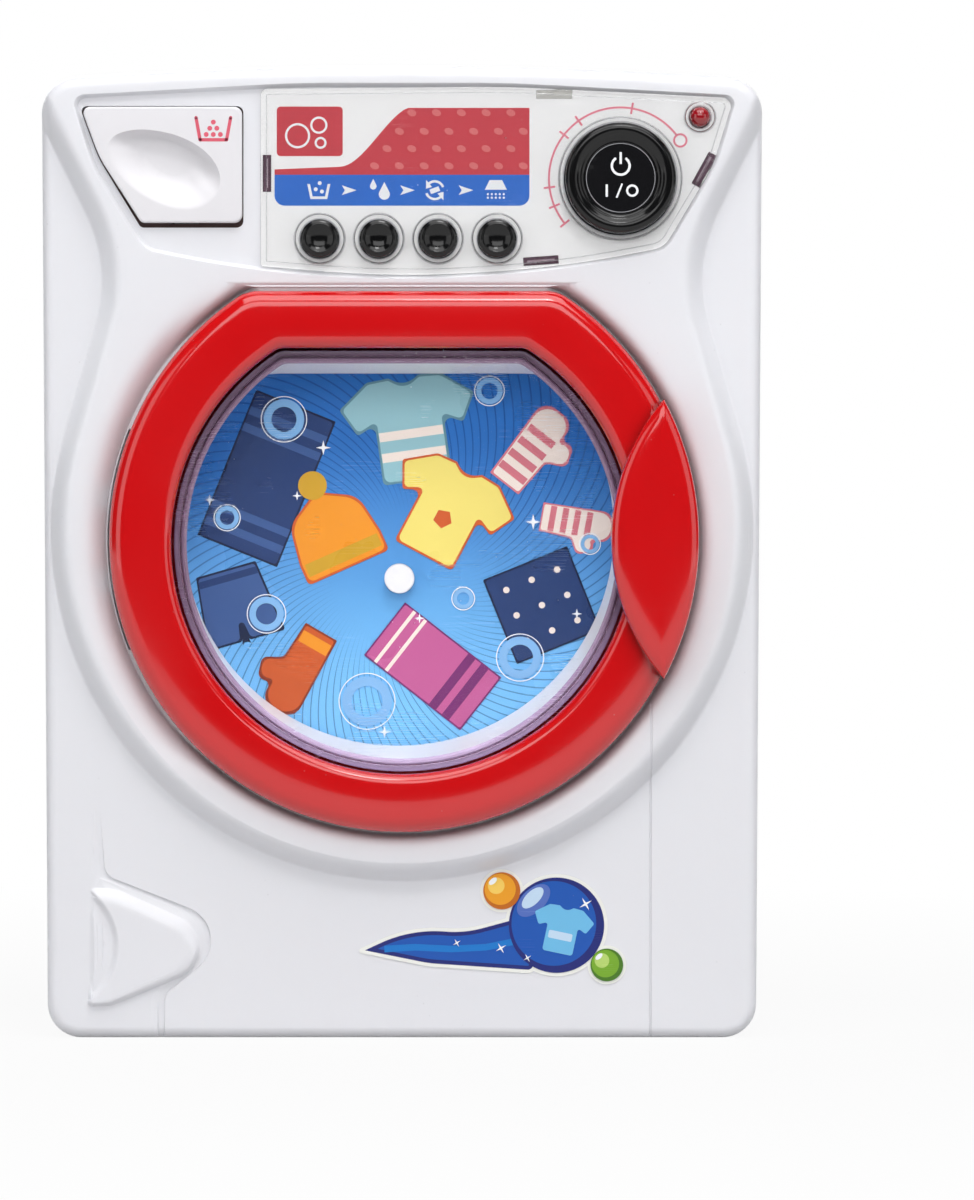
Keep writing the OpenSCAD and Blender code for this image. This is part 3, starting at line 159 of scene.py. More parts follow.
# %% Surfaces of revolution
def grid(rows, cols, round_rows=False):
    """Faces of a grid whose columns close in a ring: point (r, c) is number r * cols + c, and is
    joined to the next column and row. round_rows joins the last row to the first as well."""
    r, c = np.meshgrid(np.arange(rows if round_rows else rows - 1), np.arange(cols), indexing="ij")
    r2, c2 = (r + 1) % rows, (c + 1) % cols
    return np.stack([r * cols + c, r * cols + c2, r2 * cols + c2, r2 * cols + c], -1).reshape(-1, 4)


def fan(tip, ring):
    """Triangles from a tip to the edges of a ring, by point numbers: (tip, k, next k)."""
    return np.stack([np.full(len(ring), tip), ring, np.roll(ring, -1)], 1)


def turned(centre, profile, steps=72):
    """Solid of revolution about a line along Y through [x, z]: a profile point [r, y] is carried
    round as (x + r cos t, y, z + r sin t), and one on the axis becomes a pole with triangles."""
    profile = np.asarray(profile, float)
    start, end = profile[0, 0] == 0, profile[-1, 0] == 0
    ring = profile[1 if start else 0:len(profile) - (1 if end else 0)]
    t = np.linspace(0, 2 * np.pi, steps, endpoint=False)
    points = np.stack([centre[0] + ring[:, :1] * np.cos(t),
                       np.repeat(ring[:, 1:], steps, 1),
                       centre[1] + ring[:, :1] * np.sin(t)], -1).reshape(-1, 3)
    faces = [*grid(len(ring), steps, round_rows=not (start or end))]
    around = np.arange(steps)
    if start:
        points = np.vstack([points, [centre[0], profile[0, 1], centre[1]]])
        faces += [*fan(len(points) - 1, around)[:, ::-1]]
    if end:
        points = np.vstack([points, [centre[0], profile[-1, 1], centre[1]]])
        faces += [*fan(len(points) - 1, around + (len(ring) - 1) * steps)]
    return points, faces


def arc(centre, r, a0, a1, n):
    """Points of an arc, [u, v], from angle a0 to a1 in degrees: centre + r (cos t, sin t)."""
    t = np.radians(np.linspace(a0, a1, n))
    return np.stack([centre[0] + r * np.cos(t), centre[1] + r * np.sin(t)], 1)


def at_angle(centre, r, degrees):
    """The place at distance r from centre at an angle: centre + r (cos t, sin t)."""
    t = math.radians(degrees)
    return np.array(centre) + r * np.array([math.cos(t), math.sin(t)])


print("a drum's faces:", len(turned((0, 0), [[0, 0], [1, 0], [1, 1], [0, 1]])[1]))

# %% [markdown]
# ## Camera
# A product picture of a toy is taken from far away and straight on, with hardly any perspective.
# The focal length follows from the height that the picture spans at the toy's front. The lens is
# shifted to frame the toy, because a tilt would make its sides lean.

# %% Camera
scene = bpy.context.scene
FRONT_Y = -0.036  # the toy's front, metres
CAMERA_FAR = 1.4  # from there to the camera
VIEW_HEIGHT = 0.2711  # height that the picture spans at the front
VIEW_X, VIEW_Z = 0.0192, 0.0993  # middle of the picture at the front
EYE_Z = 0.110  # height of the camera
SENSOR = 24.0  # height of its sensor, millimetres

camera = bpy.data.objects.new("camera", bpy.data.cameras.new("camera"))
scene.collection.objects.link(camera)
scene.camera = camera
camera.location = (0, FRONT_Y - CAMERA_FAR, EYE_Z)
camera.rotation_euler = (math.pi / 2, 0, 0)
camera.data.sensor_fit = "VERTICAL"
camera.data.sensor_height = SENSOR
camera.data.lens = SENSOR * CAMERA_FAR / VIEW_HEIGHT
camera.data.shift_x = VIEW_X / VIEW_HEIGHT
camera.data.shift_y = (VIEW_Z - EYE_Z) / VIEW_HEIGHT
camera.data.clip_start, camera.data.clip_end = 0.05, 20
scene.view_settings.view_transform = "Standard"
print("camera", tuple(round(v, 3) for v in camera.location), "lens", round(camera.data.lens, 1))

# %% [markdown]
# ## Soft boxes
# A studio lights glossy plastic with large soft boxes, whose size makes highlights broad and
# shadows soft. A wide one hangs overhead with a small one for a spark, one stands in front, two
# weaker ones fill the sides, and one lights the back. The camera doesn't see them.


# %% Soft boxes
MIDDLE = (0, 0, 0.11)  # the middle of the toy, which every lamp faces


def soft_box(name, place, size, watts):
    """A rectangular area light at place, turned to the middle of the toy."""
    data = bpy.data.lights.new(name, "AREA")
    data.shape = "RECTANGLE"
    data.size, data.size_y = size
    data.energy = watts
    light = bpy.data.objects.new(name, data)
    light.location = place
    light.rotation_euler = (Vector(MIDDLE) - Vector(place)).to_track_quat("-Z", "Y").to_euler()
    light.visible_camera = False
    scene.collection.objects.link(light)


SOFT_BOXES = [  # name, place, width and height in metres, watts
    ("overhead", (0.1, -0.5, 1.2), (1.3, 0.8), 9.6),
    ("spark", (0.15, -0.8, 1.1), (0.3, 0.22), 1.9),
    ("front", (0, -1.45, 0.85), (1.3, 0.6), 7.0),
    ("left", (-1.1, -0.9, 0.35), (0.7, 1.1), 3.1),
    ("right", (1.1, -0.8, 0.3), (0.7, 1.1), 2.7),
    ("rear", (-0.5, 1.3, 0.8), (1.2, 0.9), 4.5)]
for row in SOFT_BOXES:
    soft_box(*row)
print("soft boxes:", len(SOFT_BOXES), "watts:", round(sum(row[3] for row in SOFT_BOXES), 1))

# %% [markdown]
# ## A short way to write nodes
# A material made of nodes is a small graph. Written out, each node takes many lines, and the idea
# is lost among them. These helpers make a node with its values and links in one call, so that a
# formula reads like one.


# %% A short way to write nodes
def add(tree, kind, values=(), links=(), **settings):
    """A node with settings, input values by name and incoming links by input name."""
    node = tree.nodes.new(kind)
    for key, value in settings.items():
        setattr(node, key, value)
    for key, value in dict(values).items():
        node.inputs[key].default_value = value
    for key, socket in dict(links).items():
        tree.links.new(socket, node.inputs[key])
    return node


def maths(tree, operation, a, b=None, c=None, clamp=False):
    """A Math node; each of a, b and c is a number or a socket."""
    node = tree.nodes.new("ShaderNodeMath")
    node.operation, node.use_clamp = operation, clamp
    for i, v in enumerate((a, b, c)):
        if v is not None:
            if isinstance(v, (int, float)):
                node.inputs[i].default_value = v
            else:
                tree.links.new(v, node.inputs[i])
    return node.outputs[0]


def blend(tree, factor, a, b):
    """Mix of two colours; each is an (r, g, b) tuple or a socket."""
    node = tree.nodes.new("ShaderNodeMix")
    node.data_type = "RGBA"
    for name, v in (("A", a), ("B", b)):
        socket = [s for s in node.inputs if s.name == name and s.type == "RGBA"][0]
        if isinstance(v, tuple):
            socket.default_value = (*v, 1)
        else:
            tree.links.new(v, socket)
    if isinstance(factor, (int, float)):
        node.inputs[0].default_value = factor
    else:
        tree.links.new(factor, node.inputs[0])
    return [s for s in node.outputs if s.type == "RGBA"][0]


def new_material(name):
    """A material made of nodes, its tree and its Principled shader."""
    material = bpy.data.materials.new(name)
    material.use_nodes = True
    return material, material.node_tree, material.node_tree.nodes["Principled BSDF"]


def show(tree, factor, a, b):
    """Puts a Mix Shader on the material's surface: a where factor is 0, b where it is 1."""
    mix = add(tree, "ShaderNodeMixShader", (), {0: factor, 1: a, 2: b})
    tree.links.new(mix.outputs[0], tree.nodes["Material Output"].inputs["Surface"])


def noise(tree, place, scale, detail=2.0):
    """Noise with this many waves to the metre, around 0.5."""
    return add(tree, "ShaderNodeTexNoise", {"Scale": scale, "Detail": detail},
               {"Vector": place}).outputs["Fac"]


def ramp(tree, source, low, high, out_low=0.0, out_high=1.0):
    """Map Range: low..high becomes out_low..out_high, smoothly."""
    return add(tree, "ShaderNodeMapRange", {"From Min": low, "From Max": high, "To Min": out_low,
                                            "To Max": out_high},
               {"Value": source}, interpolation_type="SMOOTHSTEP").outputs["Result"]


print("helpers:", [f.__name__ for f in (add, maths, blend, show, noise, ramp)])

# %% [markdown]
# ## The light of the room
# The room adds a little even light, so that no shadow is black. Gloss mirrors it more faintly, as
# if a dark ceiling hung over the toy, and a camera ray that meets nothing sees plain white.

# %% The room
ROOM, ROOM_IN_GLOSS = 0.24, 0.06  # strength of the room's light, and as gloss mirrors it
world = bpy.data.worlds.new("studio")
scene.world = world
world.use_nodes = True
room = world.node_tree
sky = room.nodes["Background"]
sky.inputs["Color"].default_value = (0.93, 0.95, 1, 1)
rays = room.nodes.new("ShaderNodeLightPath").outputs
strength = add(room, "ShaderNodeMapRange", {"To Min": ROOM, "To Max": ROOM_IN_GLOSS},
               {"Value": rays["Is Glossy Ray"]}).outputs["Result"]
room.links.new(maths(room, "MAXIMUM", strength, rays["Is Camera Ray"]), sky.inputs["Strength"])
print("light of the room:", ROOM, "and in gloss:", ROOM_IN_GLOSS)

# %% [markdown]
# ## Floor and backdrop
# The toy stands on white paper that rises behind it. Lit paper would come out grey and uneven, so
# for the camera and for what gloss and glass show it turns to plain white. Round the foot of the
# toy a share of the real paper stays, for its shadow to fall on.


# %% Floor and backdrop
PAPER = (0.55, 0.55, 0.55, 1)  # colour under the lamps
FOOT, FAR_OFF = 0.15, 0.6  # metres over which the paper turns wholly white
NEAR_WHITE = 0.93  # how white it is at the foot


def paper(name):
    """Matt paper mixed with plain white: by NEAR_WHITE within FOOT of the origin, wholly beyond
    FAR_OFF, and only for camera, glossy and transmission rays."""
    material, tree, base = new_material(name)
    base.inputs["Base Color"].default_value = PAPER
    base.inputs["Roughness"].default_value = 0.9
    place = tree.nodes.new("ShaderNodeTexCoord").outputs["Object"]
    away = add(tree, "ShaderNodeVectorMath", (), {0: place}, operation="LENGTH").outputs["Value"]
    share = add(tree, "ShaderNodeMapRange", {"From Min": FOOT, "From Max": FAR_OFF,
                                             "To Min": NEAR_WHITE, "To Max": 1.0}, {"Value": away})
    path = tree.nodes.new("ShaderNodeLightPath").outputs
    rays = path["Is Camera Ray"]
    for kind in ("Is Glossy Ray", "Is Transmission Ray"):
        rays = maths(tree, "MAXIMUM", rays, path[kind])
    white = tree.nodes.new("ShaderNodeEmission")
    show(tree, maths(tree, "MULTIPLY", share.outputs["Result"], rays), base.outputs[0],
         white.outputs[0])
    return material


def plane(name, corners, material):
    """One flat face of the stage."""
    mesh = bpy.data.meshes.new(name)
    mesh.from_pydata(corners, [], [(0, 1, 2, 3)])
    mesh.materials.append(material)
    obj = bpy.data.objects.new(name, mesh)
    scene.collection.objects.link(obj)


paper_white = paper("paper")
plane("floor", [(-3, -1.2, 0), (3, -1.2, 0), (3, 2.4, 0), (-3, 2.4, 0)], paper_white)
plane("backdrop", [(-4, 2.4, -2), (4, 2.4, -2), (4, 2.4, 4), (-4, 2.4, 4)], paper_white)
print("the paper is wholly white from", FAR_OFF, "m")

# %% [markdown]
# ## Effects that materials share
# Moulded plastic is never one flat colour: its gloss comes and goes in soft patches, its face has
# a fine ripple, and dust settles on it. Each effect is made once, as a node group whose outputs
# are plain numbers, and each material mixes them in with its own values.


# %% Node groups, and the skin that a mould leaves
def group(name, inputs, outputs, build):
    """A node group: build(tree, inputs by name) returns its outputs by name."""
    tree = bpy.data.node_groups.new(name, "ShaderNodeTree")
    for socket, (kind, default) in inputs.items():
        made = tree.interface.new_socket(socket, in_out="INPUT", socket_type=kind)
        if default is not None:
            made.default_value = default
    for socket, kind in outputs.items():
        tree.interface.new_socket(socket, in_out="OUTPUT", socket_type=kind)
    source, target = tree.nodes.new("NodeGroupInput"), tree.nodes.new("NodeGroupOutput")
    for socket, result in build(tree, source.outputs).items():
        tree.links.new(result, target.inputs[socket])
    return tree


FLOAT, VECTOR = "NodeSocketFloat", "NodeSocketVector"


def build_mould(tree, given):
    """Fine ripple, soft patches and specks, all from noise on the place in metres."""
    ripple = add(tree, "ShaderNodeTexNoise", {"Detail": 3.0, "Roughness": 0.6},
                 {"Vector": given["Place"], "Scale": given["Ripple Scale"]})
    specks = add(tree, "ShaderNodeTexVoronoi", {"Scale": 420.0}, {"Vector": given["Place"]})
    dot = ramp(tree, specks.outputs["Distance"], 0.05, 0.1, 1, 0)
    some = ramp(tree, noise(tree, given["Place"], 90.0), 0.6, 0.66)
    return {"Ripple": ripple.outputs["Fac"],
            "Patches": ramp(tree, noise(tree, given["Place"], 28.0, 4.0), 0.3, 0.7),
            "Specks": maths(tree, "MULTIPLY", dot, some)}


mould = group("moulded skin", {"Place": (VECTOR, None), "Ripple Scale": (FLOAT, 900.0)},
              {"Ripple": FLOAT, "Patches": FLOAT, "Specks": FLOAT}, build_mould)
print("sockets of the moulded skin:", len(mould.interface.items_tree))

# %% [markdown]
# ## Hairline scratches
# Handling leaves hairlines in a few directions. A noise that is stretched along one axis looks
# like combed hair, and the narrow band round its middle value is a set of thin lines. Three such
# sets, each turned its own way, are kept where a second noise is high, so they come in patches.

# %% Scratches
HAIRS = ((0.6, 14.0, 0.0), (-0.9, 11.0, 5.3), (1.9, 17.0, 9.1))  # turn, stretch, offset


def build_scratches(tree, given):
    """Hairlines: 1 where |noise - 0.5| is almost 0, in each of the three sets, times a mask."""
    total = None
    for turn, length, offset in HAIRS:
        place = add(tree, "ShaderNodeMapping",
                    {"Rotation": (0, turn, 0), "Location": (offset, 0, offset),
                     "Scale": (length, 60, 900)}, {"Vector": given["Place"]})
        off_middle = maths(tree, "SUBTRACT", noise(tree, place.outputs[0], 1.0, 1.0), 0.5)
        thin = ramp(tree, maths(tree, "ABSOLUTE", off_middle), 0.0, 0.012, 1, 0)
        total = thin if total is None else maths(tree, "MAXIMUM", total, thin)
    kept = maths(tree, "MULTIPLY", total,
                 ramp(tree, noise(tree, given["Place"], 60.0), 0.52, 0.62))
    return {"Mask": maths(tree, "MULTIPLY", kept, given["Amount"])}


scratches = group("hairline scratches", {"Place": (VECTOR, None), "Amount": (FLOAT, 1.0)},
                  {"Mask": FLOAT}, build_scratches)
print("sets of hairlines:", len(HAIRS))

# %% [markdown]
# ## Creases and worn edges
# Painted shade darkens the creases where two walls meet, and edges are rubbed paler. Ambient
# occlusion asks how much of the view from a point is blocked close by: outside the surface it finds
# creases, and inside it finds thin edges. A noise breaks up the wear.


# %% Creases and edges
CREASE, EDGE = 0.004, 0.0007  # how far the two look, metres


def build_edges(tree, given):
    """How deep in a crease a place lies and how worn an edge is there, each from 0 to 1."""
    crease = add(tree, "ShaderNodeAmbientOcclusion", {"Distance": CREASE}, samples=4)
    edge = add(tree, "ShaderNodeAmbientOcclusion", {"Distance": EDGE}, samples=4, inside=True)
    worn = maths(tree, "MULTIPLY", ramp(tree, edge.outputs["AO"], 0.15, 0.75, 1, 0),
                 ramp(tree, noise(tree, given["Place"], 350.0, 3.0), 0.4, 0.65))
    return {"Crease": ramp(tree, crease.outputs["AO"], 0.2, 0.85, 1, 0), "Worn": worn}


edges = group("crease shade and worn edges", {"Place": (VECTOR, None)},
              {"Crease": FLOAT, "Worn": FLOAT}, build_edges)
print("creases are looked for within", CREASE * 1000, "mm, edges within", EDGE * 1000, "mm")

# %% [markdown]
# ## A plastic finish
# Most pieces are moulded plastic and differ in only a few numbers: colour, gloss, ripple,
# scratches, painted shade in creases, and wear. So one function builds the graph for all of them
# from the shared effects, and for metals too, with Metallic at 1.


# %% Plastic
DUST = 0.35  # grey of the specks, and how strongly they cover the colour


def place_of(tree):
    """The place on the piece, in metres, for patterns to follow."""
    return tree.nodes.new("ShaderNodeTexCoord").outputs["Object"]


def call(tree, which, links, values=()):
    """The outputs of a group used with these links and values."""
    return add(tree, "ShaderNodeGroup", values, links, node_tree=which).outputs


finish = {}  # materials by name


def plastic(slot, colour, rough=0.3, ripple=0.02, scratch=0.3, coat=0.0, metallic=0.0, crease_shade=0.0,
            wear=0.0, deep=0.82, print_on=None, soft=0.0, gloss=0.5):
    """A moulded or metal finish: painted shade darkens creases to the share deep of the colour,
    edges wear pale, roughness varies in patches and along scratches. print_on(tree, place) may give
    a socket to use in place of the plain colour."""
    material, tree, base = new_material(slot)
    place = place_of(tree)
    skin_of = call(tree, mould, {"Place": place})
    hair = call(tree, scratches, {"Place": place}, {"Amount": scratch})["Mask"]
    tone = print_on(tree, place) if print_on else colour
    crease_shade_colour = tuple(v * deep for v in colour)
    tone = blend(tree, maths(tree, "MULTIPLY", skin_of["Specks"], DUST), tone,
                 tuple(0.5 * v + 0.5 * DUST for v in colour))
    # Painted shade in creases: the crease mask darkens the colour towards the share deep.
    if crease_shade or wear:
        seen = call(tree, edges, {"Place": place})
        tone = blend(tree, maths(tree, "MULTIPLY", seen["Crease"], crease_shade), tone, crease_shade_colour)
        paler = tuple(min(1.0, v * 0.8 + 0.16) for v in colour)
        tone = blend(tree, maths(tree, "MULTIPLY", seen["Worn"], wear), tone, paler)
    tree.links.new(tone, base.inputs["Base Color"])
    varied = maths(tree, "MULTIPLY_ADD", skin_of["Patches"], rough * 0.35, rough * 0.82)
    varied = maths(tree, "ADD", varied, maths(tree, "MULTIPLY", hair, 0.25), clamp=True)
    tree.links.new(varied, base.inputs["Roughness"])
    height = maths(tree, "SUBTRACT", maths(tree, "MULTIPLY", skin_of["Ripple"], ripple),
                   maths(tree, "MULTIPLY", hair, 0.03))
    bump = add(tree, "ShaderNodeBump", {"Strength": 0.6, "Distance": 0.0004}, {"Height": height})
    tree.links.new(bump.outputs[0], base.inputs["Normal"])
    for socket, value in (("Metallic", metallic), ("Coat Weight", coat),
                          ("Coat Roughness", 0.06), ("Specular IOR Level", gloss)):
        base.inputs[socket].default_value = value
    if soft:
        base.inputs["Subsurface Weight"].default_value = soft
        base.inputs["Subsurface Radius"].default_value = (0.0012, 0.001, 0.0009)
    finish[slot] = material


print("the effects of one plastic come from", len((mould, scratches, edges)), "groups")

# %% [markdown]
# ## A clear finish
# Clear plastic is a Principled shader with its Transmission Weight at 1. On the slant, a real
# sheet is looked through for longer and shows more of its own colour, so Layer Weight leads from
# the tint to an edge colour. That edge colour is also painted: darker shade along the cover's rims
# and collars, and on the window a lavender that stands for the red ring and the blue print
# reflected in its rim. Its shadow would be dark, so shadow rays meet a Transparent shader.


# %% Clear plastic
def clear(slot, tint, edge, index=1.49, rough=0.03, scratch=1.0, turn_from=0.4):
    """Light goes through in the colour tint, which turns to edge on the slant, from the share
    turn_from onwards: partly the sheet's own colour and partly painted, as shade on the cover and
    as reflection on the window. Scratches and dust make the face rougher."""
    material, tree, base = new_material(slot)
    place = place_of(tree)
    skin_of = call(tree, mould, {"Place": place}, {"Ripple Scale": 160.0})
    hair = call(tree, scratches, {"Place": place}, {"Amount": scratch})["Mask"]
    aslant = add(tree, "ShaderNodeLayerWeight", {"Blend": 0.5}).outputs["Facing"]
    slant_tint_painted = blend(tree, ramp(tree, aslant, turn_from, turn_from + 0.55), tint, edge)
    tree.links.new(slant_tint_painted, base.inputs["Base Color"])
    base.inputs["Transmission Weight"].default_value = 1.0
    base.inputs["IOR"].default_value = index
    grit = maths(tree, "MAXIMUM", hair, skin_of["Specks"])
    tree.links.new(maths(tree, "MULTIPLY_ADD", grit, 0.3, rough), base.inputs["Roughness"])
    bump = add(tree, "ShaderNodeBump", {"Strength": 0.25, "Distance": 0.0003},
               {"Height": maths(tree, "ADD", maths(tree, "MULTIPLY", skin_of["Ripple"], 0.05),
                                maths(tree, "MULTIPLY", hair, -0.05))})
    tree.links.new(bump.outputs[0], base.inputs["Normal"])
    through = add(tree, "ShaderNodeBsdfTransparent", {"Color": (*tint, 1)})
    path = tree.nodes.new("ShaderNodeLightPath").outputs
    show(tree, path["Is Shadow Ray"], base.outputs[0], through.outputs[0])
    finish[slot] = material


print("clear plastic bends light by an index of", clear.__defaults__[0])

# %% [markdown]
# ## Plastics, metals and rubber
# The casing is a cool white with a satin gloss, the door a deep glossy red, the buttons black.
# Inside are steel screws and shafts, brass contacts, pale gears and rubber. Colours are given as
# on a screen and turned into the linear light that a shader reckons with.


# %% Finishes by slot
def srgb(r, g, b):
    """Screen colour 0..255 as linear light: ((v / 255 + 0.055) / 1.055) ^ 2.4, or v / 255 / 12.92
    where v is very dark."""
    return tuple(((v / 255 + 0.055) / 1.055) ** 2.4 if v > 10 else v / 255 / 12.92
                 for v in (r, g, b))


WHITE = srgb(232, 232, 236)
RED = srgb(208, 6, 12)
# The crease numbers below paint shade into creases and hollows; deep is how much of the colour
# stays there.
plastic("white_shell", WHITE, rough=0.34, crease_shade=0.5, wear=0.1, scratch=0.25, deep=0.72, soft=0.05)
plastic("white_inner", srgb(238, 238, 240), rough=0.42, crease_shade=0.4)
plastic("drawer_white", srgb(230, 228, 231), rough=0.32, crease_shade=0.7, wear=0.1, deep=0.6)
plastic("door_red", RED, rough=0.15, coat=0.7, crease_shade=0.9, wear=0.12, scratch=0.2, deep=0.14)
plastic("button_black", srgb(11, 11, 12), rough=0.14, scratch=0.1, gloss=0.4)
plastic("lamp_red", srgb(150, 10, 24), rough=0.1, coat=0.7, scratch=0.2)
plastic("steel", (0.52, 0.52, 0.54), rough=0.3, metallic=1.0, scratch=0.8, ripple=0.04)
plastic("motor_steel", (0.42, 0.42, 0.43), rough=0.42, metallic=1.0, scratch=1.0, ripple=0.08)
plastic("brass", (0.72, 0.49, 0.2), rough=0.32, metallic=1.0, scratch=0.6)
plastic("gear_plastic", srgb(236, 230, 214), rough=0.45, crease_shade=0.5)
plastic("grey_plastic", srgb(150, 152, 156), rough=0.5, ripple=0.05, crease_shade=0.4)
plastic("rubber", srgb(70, 70, 74), rough=0.75, ripple=0.08, scratch=0.1)
plastic("speaker_black", srgb(36, 36, 38), rough=0.6, ripple=0.1)
plastic("lead_red", srgb(190, 30, 30), rough=0.45)
plastic("lead_blue", srgb(40, 70, 170), rough=0.45)
plastic("lead_black", srgb(26, 26, 28), rough=0.45)
# The window's lavender edge colour is a painted reflection of the red ring and the blue print; the
# cover's grey edge colour is painted shade along its rims and collars.
clear("clear_window", (0.99, 0.99, 1.0), srgb(208, 190, 224), index=1.1, rough=0.02)
clear("clear_cover", (1.0, 1.0, 1.0), srgb(146, 145, 151), scratch=0.7, turn_from=0.16)
print("finishes:", len(finish))

# %% [markdown]
# ## Edges of clear pieces
# The lip of the window and the prongs of the cover are clear too, but light enters them far away
# and leaves here, so they look solid and dusky. Their colours are painted light and shade on plain
# plastic, which is steadier than tracing that light: the lip is lit lavender at its foot and
# shaded purple above, and the prongs get plates of painted shade, paler bars as painted
# highlights, and a pale plate, as lit, at the top.


# %% Lip and prongs
def lip_painted_light(tree, place):
    """Painted light and shade: lit lavender at the foot of the window, shaded dusky purple from its
    middle up.
    """
    height = add(tree, "ShaderNodeSeparateXYZ", (), {0: place}).outputs["Z"]
    return blend(tree, ramp(tree, height, 0.062, 0.105), srgb(204, 178, 216), srgb(132, 106, 130))


# The lip's colour is painted light and shade of the clear rim.
plastic("lip", srgb(160, 130, 170), rough=0.2, coat=0.6, print_on=lip_painted_light)
# Painted prong colours: a dark plate as the shade of a deep slot, a paler bar as a painted
# highlight, and a pale plate as a lit prong.
plastic("tab_painted_shade", srgb(96, 74, 86), rough=0.14, coat=0.6)
plastic("tab_bar", srgb(166, 148, 158), rough=0.14, coat=0.6)
plastic("tab_painted_light", srgb(204, 203, 198), rough=0.14, coat=0.6)
print("finishes:", len(finish))

# %% [markdown]
# ## Outlines in the front view
# The casing, the door and the tub are drawn by a few outlines made of arcs and rounded corners.
# Each outline takes a distance, so that it can be had a little larger or smaller, which is how
# every edge is rounded below.

# %% Arcs and rounded corners
def unit(v):
    """A direction of length 1, v / |v|, or one for each row of v."""
    v = np.asarray(v, float)
    return v / np.linalg.norm(v, axis=-1, keepdims=True)


def mirrored(half):
    """The right half of an outline, bottom to top, joined to its mirror image, top to bottom."""
    half = np.asarray(half)
    return np.vstack([half, half[::-1] * [-1, 1]])


def corner_arc(a, v, b, r, n):
    """Points of the arc of radius r that rounds corner v between a and b. Its centre lies on the
    bisector, r / sin(half angle) from the corner."""
    a, v, b = (np.asarray(p, float) for p in (a, v, b))
    u, w = unit(a - v), unit(b - v)
    half = math.acos(max(-1, min(1, float(u @ w)))) / 2
    if half > math.radians(89.9):
        return v[None]
    c = v + unit(u + w) * r / math.sin(half)
    t = r / math.tan(half)
    p, q = v + u * t - c, v + w * t - c
    a0 = math.degrees(math.atan2(p[1], p[0]))
    sweep = (math.degrees(math.atan2(q[1], q[0])) - a0 + 180) % 360 - 180
    return arc(c, r, a0, a0 + sweep, n)


def rounded(corners, inset=0.0, n=16):
    """Outline through corners [x, z, radius], counter-clockwise, moved inwards by inset."""
    xy = np.array([c[:2] for c in corners], float)
    m = len(xy)
    along = [unit(xy[(k + 1) % m] - xy[k]) for k in range(m)]
    moved = []
    for k in range(m):
        before, after = along[k - 1], along[k]
        n1, n2 = np.array([-before[1], before[0]]), np.array([-after[1], after[0]])
        turn = before[0] * after[1] - before[1] * after[0]
        at = xy[k] + (n1 + n2) * inset / (1 + n1 @ n2)
        moved.append((at, max(0.05, corners[k][2] - math.copysign(inset, turn))))
    places = [at for at, _ in moved]
    return np.vstack([corner_arc(places[k - 1], places[k], places[(k + 1) % m], moved[k][1], n)
                      for k in range(m)])


def open_round(corners, n=14):
    """Open line through corners [x, z, radius]."""
    xy = [c[:2] for c in corners]
    inner = [corner_arc(xy[k - 1], xy[k], xy[k + 1], corners[k][2], n)
             for k in range(1, len(xy) - 1)]
    return np.vstack([[xy[0]], *inner, [xy[-1]]])


def circle(centre, r, n=48):
    """A full circle of n points."""
    return arc(centre, r, 0, 360 - 360 / n, n)


def flat_circle(r, h, fillet, z, n=110):
    """A circle of radius r round (0, z), cut by a flat top h above it, with a fillet where they
    meet, whose centre lies r - fillet from the middle and h - fillet above it."""
    cx = math.sqrt((r - fillet) ** 2 - (h - fillet) ** 2)
    a0 = math.degrees(math.atan2(h - fillet, cx))
    return mirrored(np.vstack([
        arc((0, z), r, -90 + 0.5 * (a0 + 90) / n, a0, n)[:-1],
        arc((cx, z + h - fillet), fillet, a0, 90, 12)]))


print("points of a circle with a flat top:", len(flat_circle(10, 8, 1, 0)))

# %% [markdown]
# ## Small outlines
# Slots, signs and prints are rectangles and strips, at all angles. Each is drawn round the origin
# and then put in its place.


# %% Boxes, strips and places
def put(outline, at, turn=0.0, size=1.0):
    """An outline turned by degrees about its own middle, scaled and moved to a place."""
    c, s = math.cos(math.radians(turn)), math.sin(math.radians(turn))
    return np.asarray(outline) * size @ np.array([[c, s], [-s, c]]) + at


def box_outline(x0, z0, x1, z1, n=6):
    """A rectangle, counter-clockwise, with n points on each side."""
    corners = np.array([[x0, z0], [x1, z0], [x1, z1], [x0, z1], [x0, z0]], float)
    t = np.linspace(0, 1, n, endpoint=False)[:, None]
    return np.vstack([a + (b - a) * t for a, b in zip(corners[:-1], corners[1:])])


def turned_box(centre, size, degrees):
    """A rectangle of a width and height round centre, turned by degrees."""
    w, h = size[0] / 2, size[1] / 2
    return put(box_outline(-w, -h, w, h, 2), centre, degrees)


def ribbon(line, w):
    """A strip of width w along an open line, as a closed outline."""
    d = np.gradient(line, axis=0)
    side = np.stack([-d[:, 1], d[:, 0]], 1) / np.linalg.norm(d, axis=1)[:, None] * w / 2
    return np.vstack([line - side, (line + side)[::-1]])


print("a box lies between", *turned_box((0, 0), (4, 2), 90).round(1)[::4].tolist())

# %% [markdown]
# ## The outlines of this toy
# The body has an arched crown and tapering sides. The raised front is harder: its line leaves the
# round surround along a tangent, so the point of touch is worked out, and then it turns at the
# waist towards the shoulder.

# %% Body and raised front
BODY_H, BASE_HALF, TOP_HALF = 220.0, 80.4, 81.7  # height, half widths below and above
TOP_DROP = 3.1  # how far the arched top falls to its ends
BASE_CORNER, TOP_CORNER = 7.7, 8.6
SURROUND, SURROUND_R = (0.0, 115.2), 79.3
WAIST, WAIST_R = (65.4, 174.8), 34.0
SHOULDER = (TOP_HALF, 208.0)


